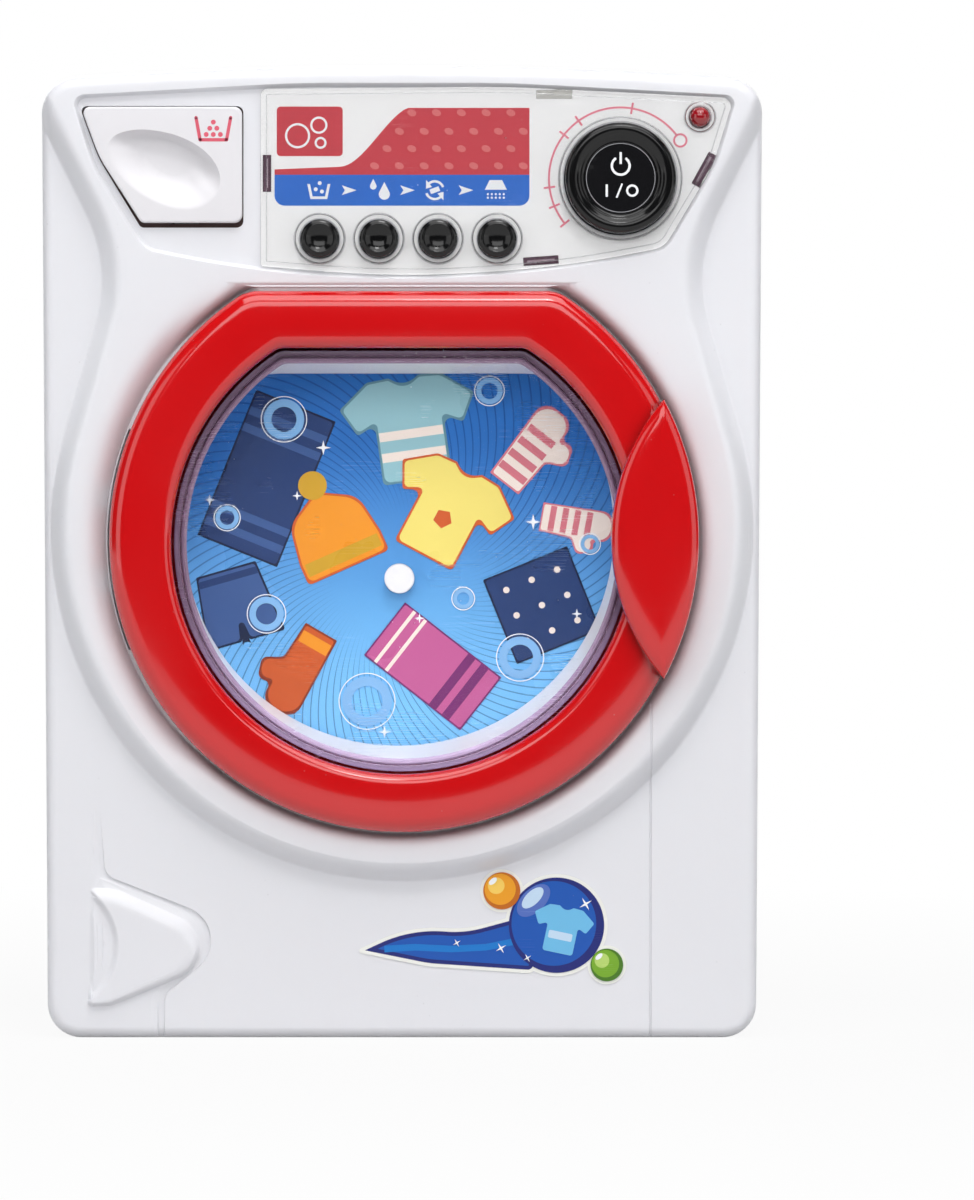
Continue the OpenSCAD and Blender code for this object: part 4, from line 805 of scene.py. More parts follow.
def body_outline(i=0.0, n=18):
    """The body seen from the front: a low arch on top, sides that taper, four round corners."""
    arch = (TOP_HALF ** 2 + TOP_DROP ** 2) / (2 * TOP_DROP)
    rb, rt = max(BASE_CORNER - i, 0.4), max(TOP_CORNER - i, 0.4)
    wb, cx, zc = BASE_HALF - i, TOP_HALF - i - rt, BODY_H - arch
    cz = zc + math.sqrt((arch - i - rt) ** 2 - cx ** 2)
    a1 = math.degrees(math.atan2(cz - zc, cx))
    side = np.linspace(0, 1, 12)[1:-1, None]
    low, high = np.array([wb, i + rb]), np.array([cx + rt, cz])
    return mirrored(np.vstack([arc((wb - rb, i + rb), rb, -90, 0, n), low + (high - low) * side,
                               arc((cx, cz), rt, 0, a1, n),
                               arc((0, zc), arch - i, a1, 90, 24)[1:-1]]))


def relief_outline(i=0.0):
    """The raised front: the surround, then a line through the waist that leaves it along its
    tangent, and past the waist a line up to the shoulder that runs off beyond the sides."""
    centre, v0, trim = np.array(SURROUND), np.array(WAIST), TOP_HALF + 6

    def touch(v, r):
        """Where the tangent from v meets the circle: acos(r / distance) round from v."""
        d = v - centre
        a = math.degrees(math.atan2(d[1], d[0]) - math.acos(r / np.linalg.norm(d)))
        return at_angle(centre, r, a)

    rise, down = unit(np.array(SHOULDER) - v0), unit(touch(v0, SURROUND_R) - v0)
    n1, n2 = np.array([-rise[1], rise[0]]), np.array([down[1], -down[0]])
    v = v0 + (n1 + n2) * i / (1 + n1 @ n2)
    t = touch(v, SURROUND_R - i)
    s = v + rise * (trim - v[0]) / rise[0]
    end = math.degrees(math.atan2(t[1] - centre[1], t[0]))
    return mirrored(np.vstack([arc(centre, SURROUND_R - i, -89.5, end, 120),
                               corner_arc(t, v, s, WAIST_R + i, 24), [s, [trim, BODY_H + 8]]]))


print("outline points:", len(body_outline()), len(relief_outline()))

# %% [markdown]
# ## Door, opening and tub
# The door, the seat that it closes on, its opening and the tub are all circles with a flat top.
# Each takes a distance g by which it grows, and the tub also a share t of its depth, because it
# narrows towards the disc.

# %% Circles with a flat top
DOOR_Z, OPENING_Z, TUB_Z = 113.0, 112.1, 112.5  # heights of their middles
HUB = (-0.6, 104.1)  # axle of the disc


def door_outline(g):
    """The rim of the red door, grown by g."""
    return flat_circle(66.1 + g, 56.1 + g, 9, DOOR_Z)


def opening_outline(g):
    """The opening in the door, grown by g."""
    return flat_circle(52 + g, 44 + g, 4, OPENING_Z)


def seat_outline(g):
    """The seat round the door, grown by g but hardly upwards."""
    return flat_circle(67 + g, 57 + 0.2 * g, 9, DOOR_Z)


def tub_outline(t, g):
    """The tub narrows, rises a little and drifts to the left from its mouth, t = 0, to its rear
    edge, t = 1."""
    return flat_circle(50.5 - t + g, 40.7 - 5.0 * t + g, 4, TUB_Z + 2.8 * t) - [0.9 * t, 0]


print("the door is", round(2 * door_outline(0)[:, 0].max(), 1), "mm wide")

# %% [markdown]
# ## A flat pattern of triangles, then its depth
# The front is a map: at every place [x, z] the plastic stands at some depth. The outlines of its
# features are constraint lines of a Delaunay triangulation, whose triangles never cross a line,
# and the depth is worked out for each corner. It mostly depends on how far a place lies inside an
# outline, so one function measures that for thousands of places at once.


# %% Distances and triangulation
def inside_by(points, outline, chunk=2000):
    """How far each point lies inside a closed outline, negative outside. On a segment from a to b
    the nearest place is at t = (p - a) . (b - a) / |b - a|^2, kept within 0..1. A point is inside
    when a line to the right of it crosses the outline an odd number of times."""
    points = np.asarray(points, float)[:, :2]
    a, b = outline, np.roll(outline, -1, axis=0)
    keep = np.linalg.norm(b - a, axis=1) > 1e-9
    a, b = a[keep], b[keep]
    d = b - a
    size = (d ** 2).sum(1)
    out = np.empty(len(points))
    for i in range(0, len(points), chunk):
        p = points[i:i + chunk, None]
        t = np.clip(((p - a) * d).sum(-1) / size, 0, 1)
        near = np.sqrt((((a + t[..., None] * d) - p) ** 2).sum(-1)).min(1)
        spans = (a[:, 1] > p[..., 1]) != (b[:, 1] > p[..., 1])
        with np.errstate(divide="ignore", invalid="ignore"):
            cross = a[:, 0] + (p[..., 1] - a[:, 1]) * d[:, 0] / d[:, 1]
        odd = (spans & (p[..., 0] < cross)).sum(1) % 2 == 1
        out[i:i + chunk] = np.where(odd, near, -near)
    return out


def tiles(outlines, keep, extra=None):
    """Triangles whose edges follow every outline. keep(middles) says which triangles stay."""
    points, edges, start = [], [], 0
    for o in outlines:
        n = len(o)
        points.append(o)
        edges += [(start + k, start + (k + 1) % n) for k in range(n)]
        start += n
    if extra is not None:
        points.append(extra)
    flat = [Vector(p) for p in np.vstack(points)]
    verts, _, faces, *_ = delaunay_2d_cdt(flat, edges, [], 0, 1e-4)
    verts = np.array([tuple(v) for v in verts])
    faces = np.array([tuple(f) for f in faces])
    a, b, c = (verts[faces[:, i]] for i in range(3))
    area = (b[:, 0] - a[:, 0]) * (c[:, 1] - a[:, 1]) - (b[:, 1] - a[:, 1]) * (c[:, 0] - a[:, 0])
    faces = faces[(np.abs(area) > 1e-9)]
    faces = faces[keep((verts[faces[:, 0]] + verts[faces[:, 1]] + verts[faces[:, 2]]) / 3)]
    used, renumbered = np.unique(faces, return_inverse=True)
    return verts[used], renumbered.reshape(-1, 3)


def plate_of(outline, holes, lines=(), extra=None):
    """Triangles of a flat plate with holes, which also follow the lines."""
    return tiles([outline, *lines, *holes],
                 lambda m: (inside_by(m, outline) > 0)
                 & ~np.any([inside_by(m, hole) > 0 for hole in holes], axis=0), extra)


def smooth(t):
    """Smoothstep: 0 below 0, 1 above 1, and 3 t^2 - 2 t^3 between."""
    t = np.clip(t, 0, 1)
    return t * t * (3 - 2 * t)


print("triangles of a ring:", len(plate_of(circle((0, 0), 2), [circle((0, 0), 1)])[1]))

# %% [markdown]
# ## Closed sheets and lofts
# A moulding is a sheet with a front, a back and walls along every rim, and its outer wall may pass
# through rings of points on the way, for a chamfer or a taper. A loft is simpler: outlines with
# the same number of points, one behind the other, joined ring by ring.


# %% Sheets and lofts
def rim_edges(faces, count):
    """Directed edges a -> b that belong to one triangle only."""
    a = faces.ravel()
    b = np.roll(faces, -1, axis=1).ravel()
    alone = ~np.isin(a * count + b, b * count + a)
    return a[alone], b[alone]


def skin(flat, faces, front, back, on_rim=None, rows=None):
    """A closed sheet: triangles at depth front, their copy at back turned over, and walls along
    every rim. Where on_rim(places) is true, rows(point numbers) gives rings of points that the
    wall passes through on its way to the back copy."""
    n = len(flat)
    back_at = flat if back.ndim == 1 else back[:, [0, 2]]
    back_y = back if back.ndim == 1 else back[:, 1]
    points = [np.column_stack([flat[:, 0], front, flat[:, 1]]),
              np.column_stack([back_at[:, 0], back_y, back_at[:, 1]])]
    out = [faces, faces[:, ::-1] + n]
    a, b = rim_edges(faces, n)
    outer = on_rim(flat[a]) & on_rim(flat[b]) if on_rim else np.zeros(len(a), bool)
    ai, bi = a[~outer], b[~outer]
    walls = [np.stack([bi, ai, ai + n, bi + n], 1)]
    if outer.any():
        ids, where = np.unique(np.concatenate([a[outer], b[outer]]), return_inverse=True)
        ia, ib = np.split(where, 2)
        rings, start = [ids], 2 * n
        for ring in rows(ids):
            points.append(ring)
            rings.append(np.arange(start, start + len(ids)))
            start += len(ids)
        rings.append(ids + n)
        walls += [np.stack([r[ib], r[ia], s[ia], s[ib]], 1) for r, s in zip(rings, rings[1:])]
    return np.vstack(points), [*np.vstack(out), *np.vstack(walls)]


def rings_at(lines):
    """Rings of points from (places, depth) pairs; a depth is one number, or one for each place."""
    return [np.column_stack([q[:, 0], np.broadcast_to(y, len(q)), q[:, 1]]) for q, y in lines]


def lofted(rings, caps=True):
    """Closed surface through outlines [(outline, y), ...] with equal point counts. Each end is
    closed by a fan from its middle, or with caps=False the last ring joins the first."""
    n = len(rings[0][0])
    points = np.vstack(rings_at(rings))
    faces = [*grid(len(rings), n, round_rows=not caps)]
    if caps:
        points = np.vstack([points, points[:n].mean(0), points[-n:].mean(0)])
        around, total = np.arange(n), len(rings) * n
        faces += [*fan(total, around)[:, ::-1], *fan(total + 1, around + total - n)]
    return points, faces


print("faces of a loft:", len(lofted([(circle((0, 0), 1), 0.0), (circle((0, 0), 1), 2.0)])[1]))

# %% [markdown]
# ## The front casing
# A front shell is one injection moulding, about 2 mm thick. Its face has a flat lower part, the
# raised front that swells round the door, the recess of the console, the cone of the door's seat,
# a pocket for the hinge, and the cover of a drain with its finger dish and a step round it. The
# outer edge rolls over with a small radius, and a plain wall runs back to the parting line.

# %% Outlines of the front's features
CONSOLE_RIGHT = [[59.4, 178.6, 6], [70.4, 197, 30], [75.4, 213, 2.4], [23.2, 215.6, 300]]
CONSOLE_LEFT = [[-23.2, 215.6, 300], [-74.4, 213, 2.4], [-69.3, 197, 30], [-58, 178.8, 6],
                [-36, 174.2, 240]]
CONSOLE_DIP = [[0, 171.8, 240], [36, 174.2, 240]]
CONSOLE = CONSOLE_DIP + CONSOLE_RIGHT + CONSOLE_LEFT
COVER_LEFT = -32.2
COVER = [[COVER_LEFT, 174.4, 1]] + CONSOLE_DIP + CONSOLE_RIGHT + [[COVER_LEFT, 215.1, 1.8]]
DRAWER = [[-58.9, 184.5, 1.6], [-36.1, 184.5, 1.8], [-36.1, 210.7, 1.8], [-72.6, 210.7, 1.5],
          [-68.4, 199.3, 25]]
BUTTONS = [(-18.6 + 13.35 * k, 180.9) for k in range(4)]
BUTTON_R, POWER_R, LAMP_R = 4.3, 12.5, 2.3
POWER, LAMP = (49.3, 194.5), (67.3, 208.4)
TABS = [[COVER_LEFT + 1.7, 195.7, -90, 8.2], [34.4, 213.5, 180, 8], [68.2, 196.6, 61, 8],
        [31.4, 176, 4, 7.8]]
DRAIN = [[-71.4, 7.2, 1.5], [-66, 7.4, 6], [-34.4, 20.3, 7.4], [-64.8, 33.9, 15],
         [-71.4, 34.2, 2.2]]
DISH, DISH_R, DISH_D, DRAIN_H = (-80.0, 20.9), 16.0, 1.35, 1.5
STEP_LINE = [[-68.4, 51.6, 0], [-67.2, 36.9, 3.5], [-35.6, 24.6, 8], [-53.7, 9.8, 3],
             [-53.8, -1, 0]]
STUB_W, STEP_D = 1.6, 0.5
RIGHT_GROOVE = (56.0, 56.6, 76.0)  # x from, x to, upper end
CATCH = box_outline(58, 107.5, 62, 118.5)
HINGE_X, HINGE_Y, POCKET_Y = 62.2, -4.2, 1.16


def tab_slots(grow):
    """The four slots that the cover's prongs go through, larger by grow."""
    return [turned_box((x, z), (length + grow, 1.7 + grow), a) for x, z, a, length in TABS]


def console_holes(button, power, lamp):
    """Round holes with these clearances: four for the buttons, one for the switch, one for the
    lamp."""
    return ([circle(b, BUTTON_R + button) for b in BUTTONS]
            + [circle(POWER, POWER_R + power, 96), circle(LAMP, LAMP_R + lamp)])


def pocket(inset=0.0):
    """The part of the ring between two radii that lies beside the hinge."""
    half = 25 - inset
    outer, inner = 66.7 - inset, 57 + inset
    ao, ai = (math.degrees(math.asin(half / r)) for r in (outer, inner))
    return np.vstack([arc((0, DOOR_Z), outer, 180 - ao, 180 + ao, 40),
                      arc((0, DOOR_Z), inner, 180 + ai, 180 - ai, 40)])


step_line = open_round(STEP_LINE)
step_side = np.vstack([step_line, [[-53.8, -30], [-120, -30], [-120, 51.6]]])
DRAWER_HOLE = [[-58.9, 183.7, 1.6], *DRAWER[1:]]
DRAWER_HOLE[1] = [DRAWER[1][0], 183.7, 1.8]
front_holes = ([tub_outline(0, 0), rounded(DRAWER_HOLE, -0.25, 10), CATCH]
               + console_holes(0.15, 0.2, 0.15) + tab_slots(0.2))
print("holes in the front:", len(front_holes))

# %% [markdown]
# ## The depth of the front
# Each feature has its own rule: a sine for the shoulder of the raised front, a smooth step down
# into the console, a steep cone up from the door's seat. They are laid over one another in turn.
# Beside the hinge the cone stays shallow, so that the door's rim has room to swing.


# %% Depth at every place
def roll(d, r):
    """How far an edge of radius r has fallen back at distance d from the rim."""
    d = np.clip(d, 0, r)
    return r - np.sqrt(r ** 2 - (r - d) ** 2)


def way_in(points, outline, step):
    """The direction [dx, dz] that leads in from the nearest rim: the slope of the distance."""
    return np.stack([(inside_by(points + d, outline) - inside_by(points - d, outline)) / (2 * step)
                     for d in (np.array([step, 0]), np.array([0, step]))], 1)


HINGE_FREE = 56.0  # left of x = -56 the cone keeps clear of the hinge


def seat_share(p):
    """0 at the foot of the cone round the door's seat, 1 at its top, and how free of the hinge a
    place is. The cone's width falls from 6.2 mm beside the ring to 1.2 mm above the flat."""
    phi = np.degrees(np.arctan2(p[:, 1] - DOOR_Z - 48, np.abs(p[:, 0]) - 32.6))
    width = 6.2 - 4.96 * smooth((phi - 56) / 34)
    free = smooth((p[:, 0] + HINGE_FREE) / 16)
    return (0.45 * free - inside_by(p, seat_outline(0))) / width, free


def front_depth(p, edge=True):
    """Depth of the front's surface at places [x, z]."""
    raised = inside_by(p, relief_outline(0))
    u = np.clip((raised + 0.4) / 4.9, 0, 1)
    u = 1.05 * u * u / (u + 0.05)  # a short foot, then a round shoulder
    y = -RELIEF * np.sin(np.pi / 2 * u)
    if edge:
        y = y + roll(inside_by(p, body_outline(0)), 2.6)
    console = inside_by(p, rounded(CONSOLE))
    y = y + (FLOOR_Y - y) * smooth((console + 0.5) / 0.85)
    seat, free = seat_share(p)
    t = np.clip(seat, 0, 1)
    cone = SEAT_Y - 4 * (free * (1 - (1 - t) ** 5) + (1 - free) * np.sin(np.pi / 2 * t))
    y = np.where(seat < 1, np.maximum(y, cone), y)
    y = y + (POCKET_Y - y) * np.clip(inside_by(p, pocket()) / 0.15, 0, 1)
    step = inside_by(p, step_side)
    narrow = (p[:, 1] > 42) | (p[:, 1] < 8)
    fade = np.where(narrow, np.clip((STUB_W - step) / 0.2, 0, 1), 1 - smooth((step - 0.4) / 3))
    y = y + STEP_D * np.clip(step / 0.15, 0, 1) * fade * (p[:, 0] > -70.5)
    cover = inside_by(p, rounded(DRAIN))
    near = cover > -0.2
    if near.any():
        q, d = p[near], cover[near]
        width = 0.9 + 2.6 * smooth((0.35 - way_in(q, rounded(DRAIN), 0.05)[:, 1]) / 0.9)
        h = DRAIN_H * np.sin(np.pi / 2 * np.clip(d / width, 0, 1))
        into = DISH_R - np.hypot(*(q - DISH).T)
        scoop = DISH_D * smooth(into / 1.7) * (1 - 0.65 * smooth((into - 1.7) / 5.5))
        y[near] -= np.maximum(h - scoop, 0)
    x0, x1, top = RIGHT_GROOVE
    groove = np.minimum(np.minimum(p[:, 0] - x0, x1 - p[:, 0]), top - p[:, 1])
    return y + 0.35 * np.clip(groove / 0.12, 0, 1)


print("depth in the middle of the surround:", front_depth(np.array([[0.0, 42.0]])).round(2))

# %% [markdown]
# ## Cutting the front
# Lines follow each outline at several distances, closest where the depth bends most. The sheet's
# back copy is the same map without the rolled edge, moved in by the wall's thickness near the rim.
# Two lugs for the hinge pin stand in the pocket.


# %% Lines, sheet and lugs
def spread_points(outline, spacing, x_range, z_range):
    """Places on a regular lattice, so that wide bent areas get enough triangles."""
    x, z = np.meshgrid(np.arange(*x_range, spacing), np.arange(*z_range, spacing))
    p = np.stack([x.ravel(), z.ravel()], 1)
    return p[inside_by(p, outline) > 0.1]


BODY_LINES = (0, 0.06, 0.25, 0.55, 0.95, 1.45, 2.0, 2.6)
RELIEF_LINES = (-0.7, -0.45, -0.2, 0.05, 0.35, 0.7, 1.1, 1.6, 2.1, 2.7, 3.3, 4, 4.7)
SEAT_LINES = (-0.45, -0.2, 0.05, 0.25, 0.55, 0.9, 1.35, 1.9, 2.6, 3.5, 4.7, 6.2)
DRAIN_LINES = (-0.1, 0.1, 0.3, 0.6, 0.95, 1.5, 2.1, 2.8, 3.5)
DISH_LINES = (0, 0.3, 0.6, 0.95, 1.3, 1.7, 2.6, 4)
front_lines = (
    [body_outline(i) for i in BODY_LINES[1:]] + [relief_outline(i) for i in RELIEF_LINES]
    + [rounded(CONSOLE, i) for i in (-0.5, -0.3, -0.08, 0.14, 0.35)]
    + [seat_outline(g) for g in SEAT_LINES] + [pocket(0), pocket(0.15)]
    + [ribbon(step_line + [-o, 0], 0.02) for o in (0.01, 0.16, 0.5, 1.2, 2.2, 3.2)]
    + [box_outline(-70, 42, -69.9, 51.6), box_outline(-55.4, 0.5, -55.2, 8)]
    + [box_outline(56, -2, 56.6, 76), box_outline(56.12, -2, 56.48, 75.9)]
    + [rounded(DRAIN, i) for i in DRAIN_LINES]
    + [ribbon(arc(DISH, DISH_R - i, -46, 46, 40), 0.02) for i in DISH_LINES])
front_flat, front_cut = plate_of(body_outline(0), front_holes, front_lines,
                                 spread_points(rounded(DRAIN, 1), 1.1, (-72, -34), (6, 36)))
WALL = 2.2


def inner_face(flat, outline):
    """Places of a sheet's back copy: within 8 mm of the rim they move in, by WALL at the rim."""
    near = WALL * np.clip(1 - inside_by(flat, outline) / 8, 0, 1)
    return flat + way_in(flat, outline, 0.1) * near[:, None]


def on_outline(outline):
    """A test for places that lie on an outline."""
    return lambda p: np.abs(inside_by(p, outline)) < 0.02


front_in, front_y = inner_face(front_flat, body_outline(0)), front_depth(front_flat)
front_back = rings_at([(front_in, front_depth(front_flat, edge=False) + WALL)])[0]


def front_wall(ids):
    """Rings of the wall: straight back, round a fine chamfer, and forwards inside."""
    place, inside = front_flat[ids], front_in[ids]
    to_middle = unit(np.array([0, BODY_H / 2]) - place)
    return rings_at([(place, front_y[ids] + 6), (place, PARTING_Y - 0.3),
                     (place + to_middle * 0.25, PARTING_Y), (inside, PARTING_Y), (inside, 12.0)])


front_shell = skin(front_flat, front_cut, front_y, front_back, on_outline(body_outline(0)),
                   front_wall)
LUG_FROM, LUG_TO, LUG_R = 7.35, 11.15, 1.8  # ends of a lug, from the door's middle; radius


def lug(z):
    """A hinge lug: a D-shaped prism round the pin, its stem sunk in the pocket."""
    t = np.radians(np.linspace(180, 360, 20))
    shape = np.vstack([np.stack([-HINGE_X + LUG_R * np.cos(t), HINGE_Y + LUG_R * np.sin(t)], 1),
                       [[-HINGE_X + 1.4, POCKET_Y + 0.5], [-HINGE_X - 1.4, POCKET_Y + 0.5]]])
    n, ends = len(shape), (z, z + LUG_TO - LUG_FROM)
    points = np.vstack([np.column_stack([shape, np.full(n, h)]) for h in ends])
    return points, [*grid(2, n), tuple(range(n))[::-1], tuple(range(n, 2 * n))]


front_casing = piece("front_casing",
                     *shells([front_shell, lug(DOOR_Z - LUG_TO), lug(DOOR_Z + LUG_FROM)]),
                     "casing", "white_shell")
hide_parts("front_housing")
print("front: corners", len(front_flat), "triangles", len(front_cut))

# %% [markdown]
# ## The rear casing
# The rear shell is a plain box with a rolled edge. Its back wall has a cluster of round holes for
# the speaker, six deep wells for the screws that hold the shells together, and a shallow seat for
# the battery lid, with the battery bay in its middle.

# %% Outlines of the back's features
BAY_HALF, BAY_LOW, BAY_HIGH, BAY_Y = 29.4, 15.0, 45.2, 60.6
LID_DEPTH, LID_LIP = 2.0, 2.3
LID_SCREW, SPEAKER = (0.0, 51.2), (-46.0, 72.0)
BACK_IN = 0.7  # how much smaller the back wall is than the body's outline


def low_half(z):
    """Half the width of the body at height z."""
    return BASE_HALF + (TOP_HALF - BASE_HALF) * z / BODY_H


POSTS = ([(s * (low_half(14) - 10.5), 14.0) for s in (-1, 1)]
         + [(s * (low_half(160) - 8.15), 160.0) for s in (-1, 1)] + [(-20, 210.5), (20, 210.5)])


def lid_outline(grow):
    """The lid: a rectangle with a round ear on top for its screw."""
    x, z0, z1 = BAY_HALF + LID_LIP + grow, BAY_LOW - LID_LIP - grow, BAY_HIGH + LID_LIP + grow
    ear = arc(LID_SCREW, 4.6 + grow, 0, 180, 24)
    return np.vstack([[[x, z0], [x, z1]], [[ear[0, 0], z1]], ear, [[ear[-1, 0], z1]],
                      [[-x, z1], [-x, z0]]])


speaker_holes = [circle(SPEAKER, 1.3, 20)] + [
    circle(at_angle(SPEAKER, 5 * ring, a), 1.3, 20)
    for ring in (1, 2) for a in 60 / ring * np.arange(6 * ring)]
bay = box_outline(-BAY_HALF, BAY_LOW, BAY_HALF, BAY_HIGH, 4)
back_holes = (speaker_holes + [circle(p, 2.7, 32) for p in POSTS]
              + [bay, circle(LID_SCREW, 1.15, 16)])
print("holes in the back:", len(back_holes))

# %% [markdown]
# ## Cutting the back
# The back is cut and given its depth as the front is. Its wall widens a little towards the parting
# line, so that it can leave its mould. The wells for the screws and the cup for the cells are
# closed shapes of their own, sunk in it.

# %% Sheet, wells and battery cup
BACK_R = 2.7  # radius of the rolled edge
ROLL_END = 75.3  # where the edge ends and the wall begins


def back_depth(p):
    """Depth of the back wall: flat, rolled over at the rim, and lower in the lid's seat."""
    y = BODY_DEPTH - roll(inside_by(p, body_outline(BACK_IN)), BACK_R)
    return y - LID_DEPTH * np.clip(inside_by(p, lid_outline(0.2)) / 0.12, 0, 1)


back_lines = ([body_outline(BACK_IN + i) for i in (0.06, 0.25, 0.6, 1.0, 1.6, 2.2, BACK_R)]
              + [lid_outline(0.2), lid_outline(0.08)])
back_flat, back_cut = plate_of(body_outline(BACK_IN), back_holes, back_lines)
back_in = inner_face(back_flat, body_outline(BACK_IN))
back_inner = rings_at([(back_in, BODY_DEPTH - LID_DEPTH - WALL + 0.6)])[0]


def back_wall(ids):
    """Rings of the wall, forwards to the parting line, widening by BACK_IN, and back inside."""
    place, inside = back_flat[ids], back_in[ids]
    out = -unit(np.array([0, BODY_H / 2]) - place)
    share = (PARTING_Y + 0.3 - ROLL_END) / (PARTING_Y - ROLL_END)
    return rings_at([(place + out * BACK_IN * share, PARTING_Y + 0.3),
                     (place + out * 0.45, PARTING_Y), (inside, PARTING_Y), (inside, 60.0)])


back_shell = skin(back_flat, back_cut, back_depth(back_flat), back_inner,
                  on_outline(body_outline(BACK_IN)), back_wall)
wells = [turned(p, [[1.35, PARTING_Y + 0.02], [4.2, PARTING_Y + 0.02], [4.2, 75.6], [2.7, 75.6],
                    [2.7, PARTING_Y + 6], [1.35, PARTING_Y + 6]], 32) for p in POSTS]
bay_cup = lofted([(box_outline(-BAY_HALF + i, BAY_LOW + i, BAY_HALF - i, BAY_HIGH - i, 4), y)
                  for i, y in ((0, BAY_Y), (0, 75.8), (-1.6, 75.8), (-1.6, BAY_Y - 1.6))])
screw_boss = turned(LID_SCREW, [[1.15, 65], [3.4, 65], [3.4, 75.8], [1.15, 75.8]], 24)
rear_casing = piece("rear_casing", *shells([back_shell, *wells, bay_cup, screw_boss]), "casing",
                    "white_shell")
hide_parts("rear_housing")
print("back: corners", len(back_flat), "triangles", len(back_cut))

# %% [markdown]
# ## The door
# The door is a thick red ring, cored out from behind to a channel. Its outer edge is rounded wide,
# its face is slightly crowned, and its inner edge is rounded down to the window. Rings of points
# go from the back of the outer wall over the face and back inside the channel, and are joined into
# one closed tube. The notches for the hinge are cut out afterwards with an exact Boolean.


# %% The red ring
def cut_away(obj, low, high):
    """Cuts the box between two corners, in millimetres, out of an object: the result of a Boolean
    modifier takes the place of the mesh."""
    corners = [[(low, high)[i][0], (low, high)[j][1], (low, high)[k][2]]
               for i in (0, 1) for j in (0, 1) for k in (0, 1)]
    sides = ((0, 1, 3, 2), (4, 6, 7, 5), (0, 4, 5, 1), (2, 3, 7, 6), (0, 2, 6, 4),
             (1, 5, 7, 3))
    mesh = bpy.data.meshes.new("cutter")
    mesh.from_pydata(to_metres(corners).tolist(), [], sides)
    cutter = bpy.data.objects.new("cutter", mesh)
    scene.collection.objects.link(cutter)
    boolean = obj.modifiers.new("cut", "BOOLEAN")
    boolean.operation, boolean.solver, boolean.object = "DIFFERENCE", "EXACT", cutter
    weigh = obj.modifiers["even shading"]
    weigh.show_viewport = False
    depsgraph = bpy.context.evaluated_depsgraph_get()
    result = bpy.data.meshes.new_from_object(obj.evaluated_get(depsgraph))
    weigh.show_viewport = True
    obj.modifiers.remove(boolean)
    obj.data = result
    bpy.data.objects.remove(cutter)
    result.set_sharp_from_angle(angle=math.radians(SHARP))


EDGE_IN, EDGE_DOWN = 3.9, 3.4  # the outer edge is a quarter ellipse of these half axes
RIM_IN, RIM_DOWN = 2.6, 2.3  # and so is the inner one
DOOR_WALL, CORE_Y = 2.0, -7.1  # the channel's wall, and the depth of its floor
RIM_BACK = -4.35  # where the inner edge ends behind
quarter = np.radians(np.linspace(0, 90, 10))
outer_edge = [(door_outline(-EDGE_IN * (1 - math.cos(a))),
               DOOR_FRONT + EDGE_DOWN - EDGE_DOWN * math.sin(a)) for a in quarter]
face_from, face_to = door_outline(-EDGE_IN), opening_outline(RIM_IN)
crown = [(face_from + (face_to - face_from) * t, DOOR_FRONT - 0.6 * t * (1 - t))
         for t in (0.15, 0.3, 0.5, 0.7, 0.85)]
inner_edge = [(opening_outline(RIM_IN * (1 - math.sin(a))),
               DOOR_FRONT + RIM_DOWN * (1 - math.cos(a))) for a in quarter]
ring_rows = ([(door_outline(0), DOOR_BACK), (door_outline(0), DOOR_BACK - 2)] + outer_edge + crown
             + inner_edge
             + [(opening_outline(0), RIM_BACK), (opening_outline(DOOR_WALL), RIM_BACK),
                (opening_outline(DOOR_WALL), CORE_Y), (door_outline(-DOOR_WALL), CORE_Y),
                (door_outline(-DOOR_WALL), DOOR_BACK)])
red_ring = piece("red_ring", *lofted(ring_rows, caps=False), "door", "door_red")
LUG_GAP, BARREL = 0.3, 1.9  # room round a lug, and the radius of the hinge's barrel
notch_y, notch_x = HINGE_Y - BARREL - LUG_GAP, -HINGE_X + BARREL + LUG_GAP
for z in (DOOR_Z - LUG_TO, DOOR_Z + LUG_FROM):
    cut_away(red_ring, (-68, notch_y, z - LUG_GAP),
             (notch_x, 0, z + LUG_TO - LUG_FROM + LUG_GAP))
cut_away(red_ring, (-HINGE_X - BARREL - LUG_GAP, notch_y, DOOR_Z - LUG_FROM),
         (notch_x, 0, DOOR_Z + LUG_FROM))
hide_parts("door_ring")
print("red ring faces:", len(red_ring.data.polygons))

# %% [markdown]
# ## Handle
# The handle is a leaf: the space between the door's rim and a second circle that crosses it. Its
# face is a soft cushion, so rings of the leaf get smaller while their depth follows a
# superellipse, 1 - (1 - t^3)^(1/3), which is flat in the middle and turns down at the edge.

# %% Handle
HANDLE_IN, HANDLE_R = 47.0, 47.7  # where its circle begins on the right, and its radius
HANDLE_OUT, HANDLE_EDGE = 66.8, 2.6  # the rim's radius, and how deep the cushion's edge is
LEAF_RINGS = (0, 0.15, 0.4, 0.8, 1.4, 2.2, 3.2, 4.4, 5.8, 7.2, 8.6)


def leaf(i, n=40):
    """The leaf moved inwards by i: two arcs between the points where their circles cross."""
    ra, rb, d = HANDLE_OUT - i, HANDLE_R - i, HANDLE_IN + HANDLE_R
    x = (d * d + ra * ra - rb * rb) / (2 * d)
    a, b = math.degrees(math.acos(x / ra)), math.degrees(math.acos((d - x) / rb))
    return np.vstack([arc((0, DOOR_Z), ra, -a, a, n)[:-1],
                      arc((d, DOOR_Z), rb, 180 - b, 180 + b, n)[:-1]])


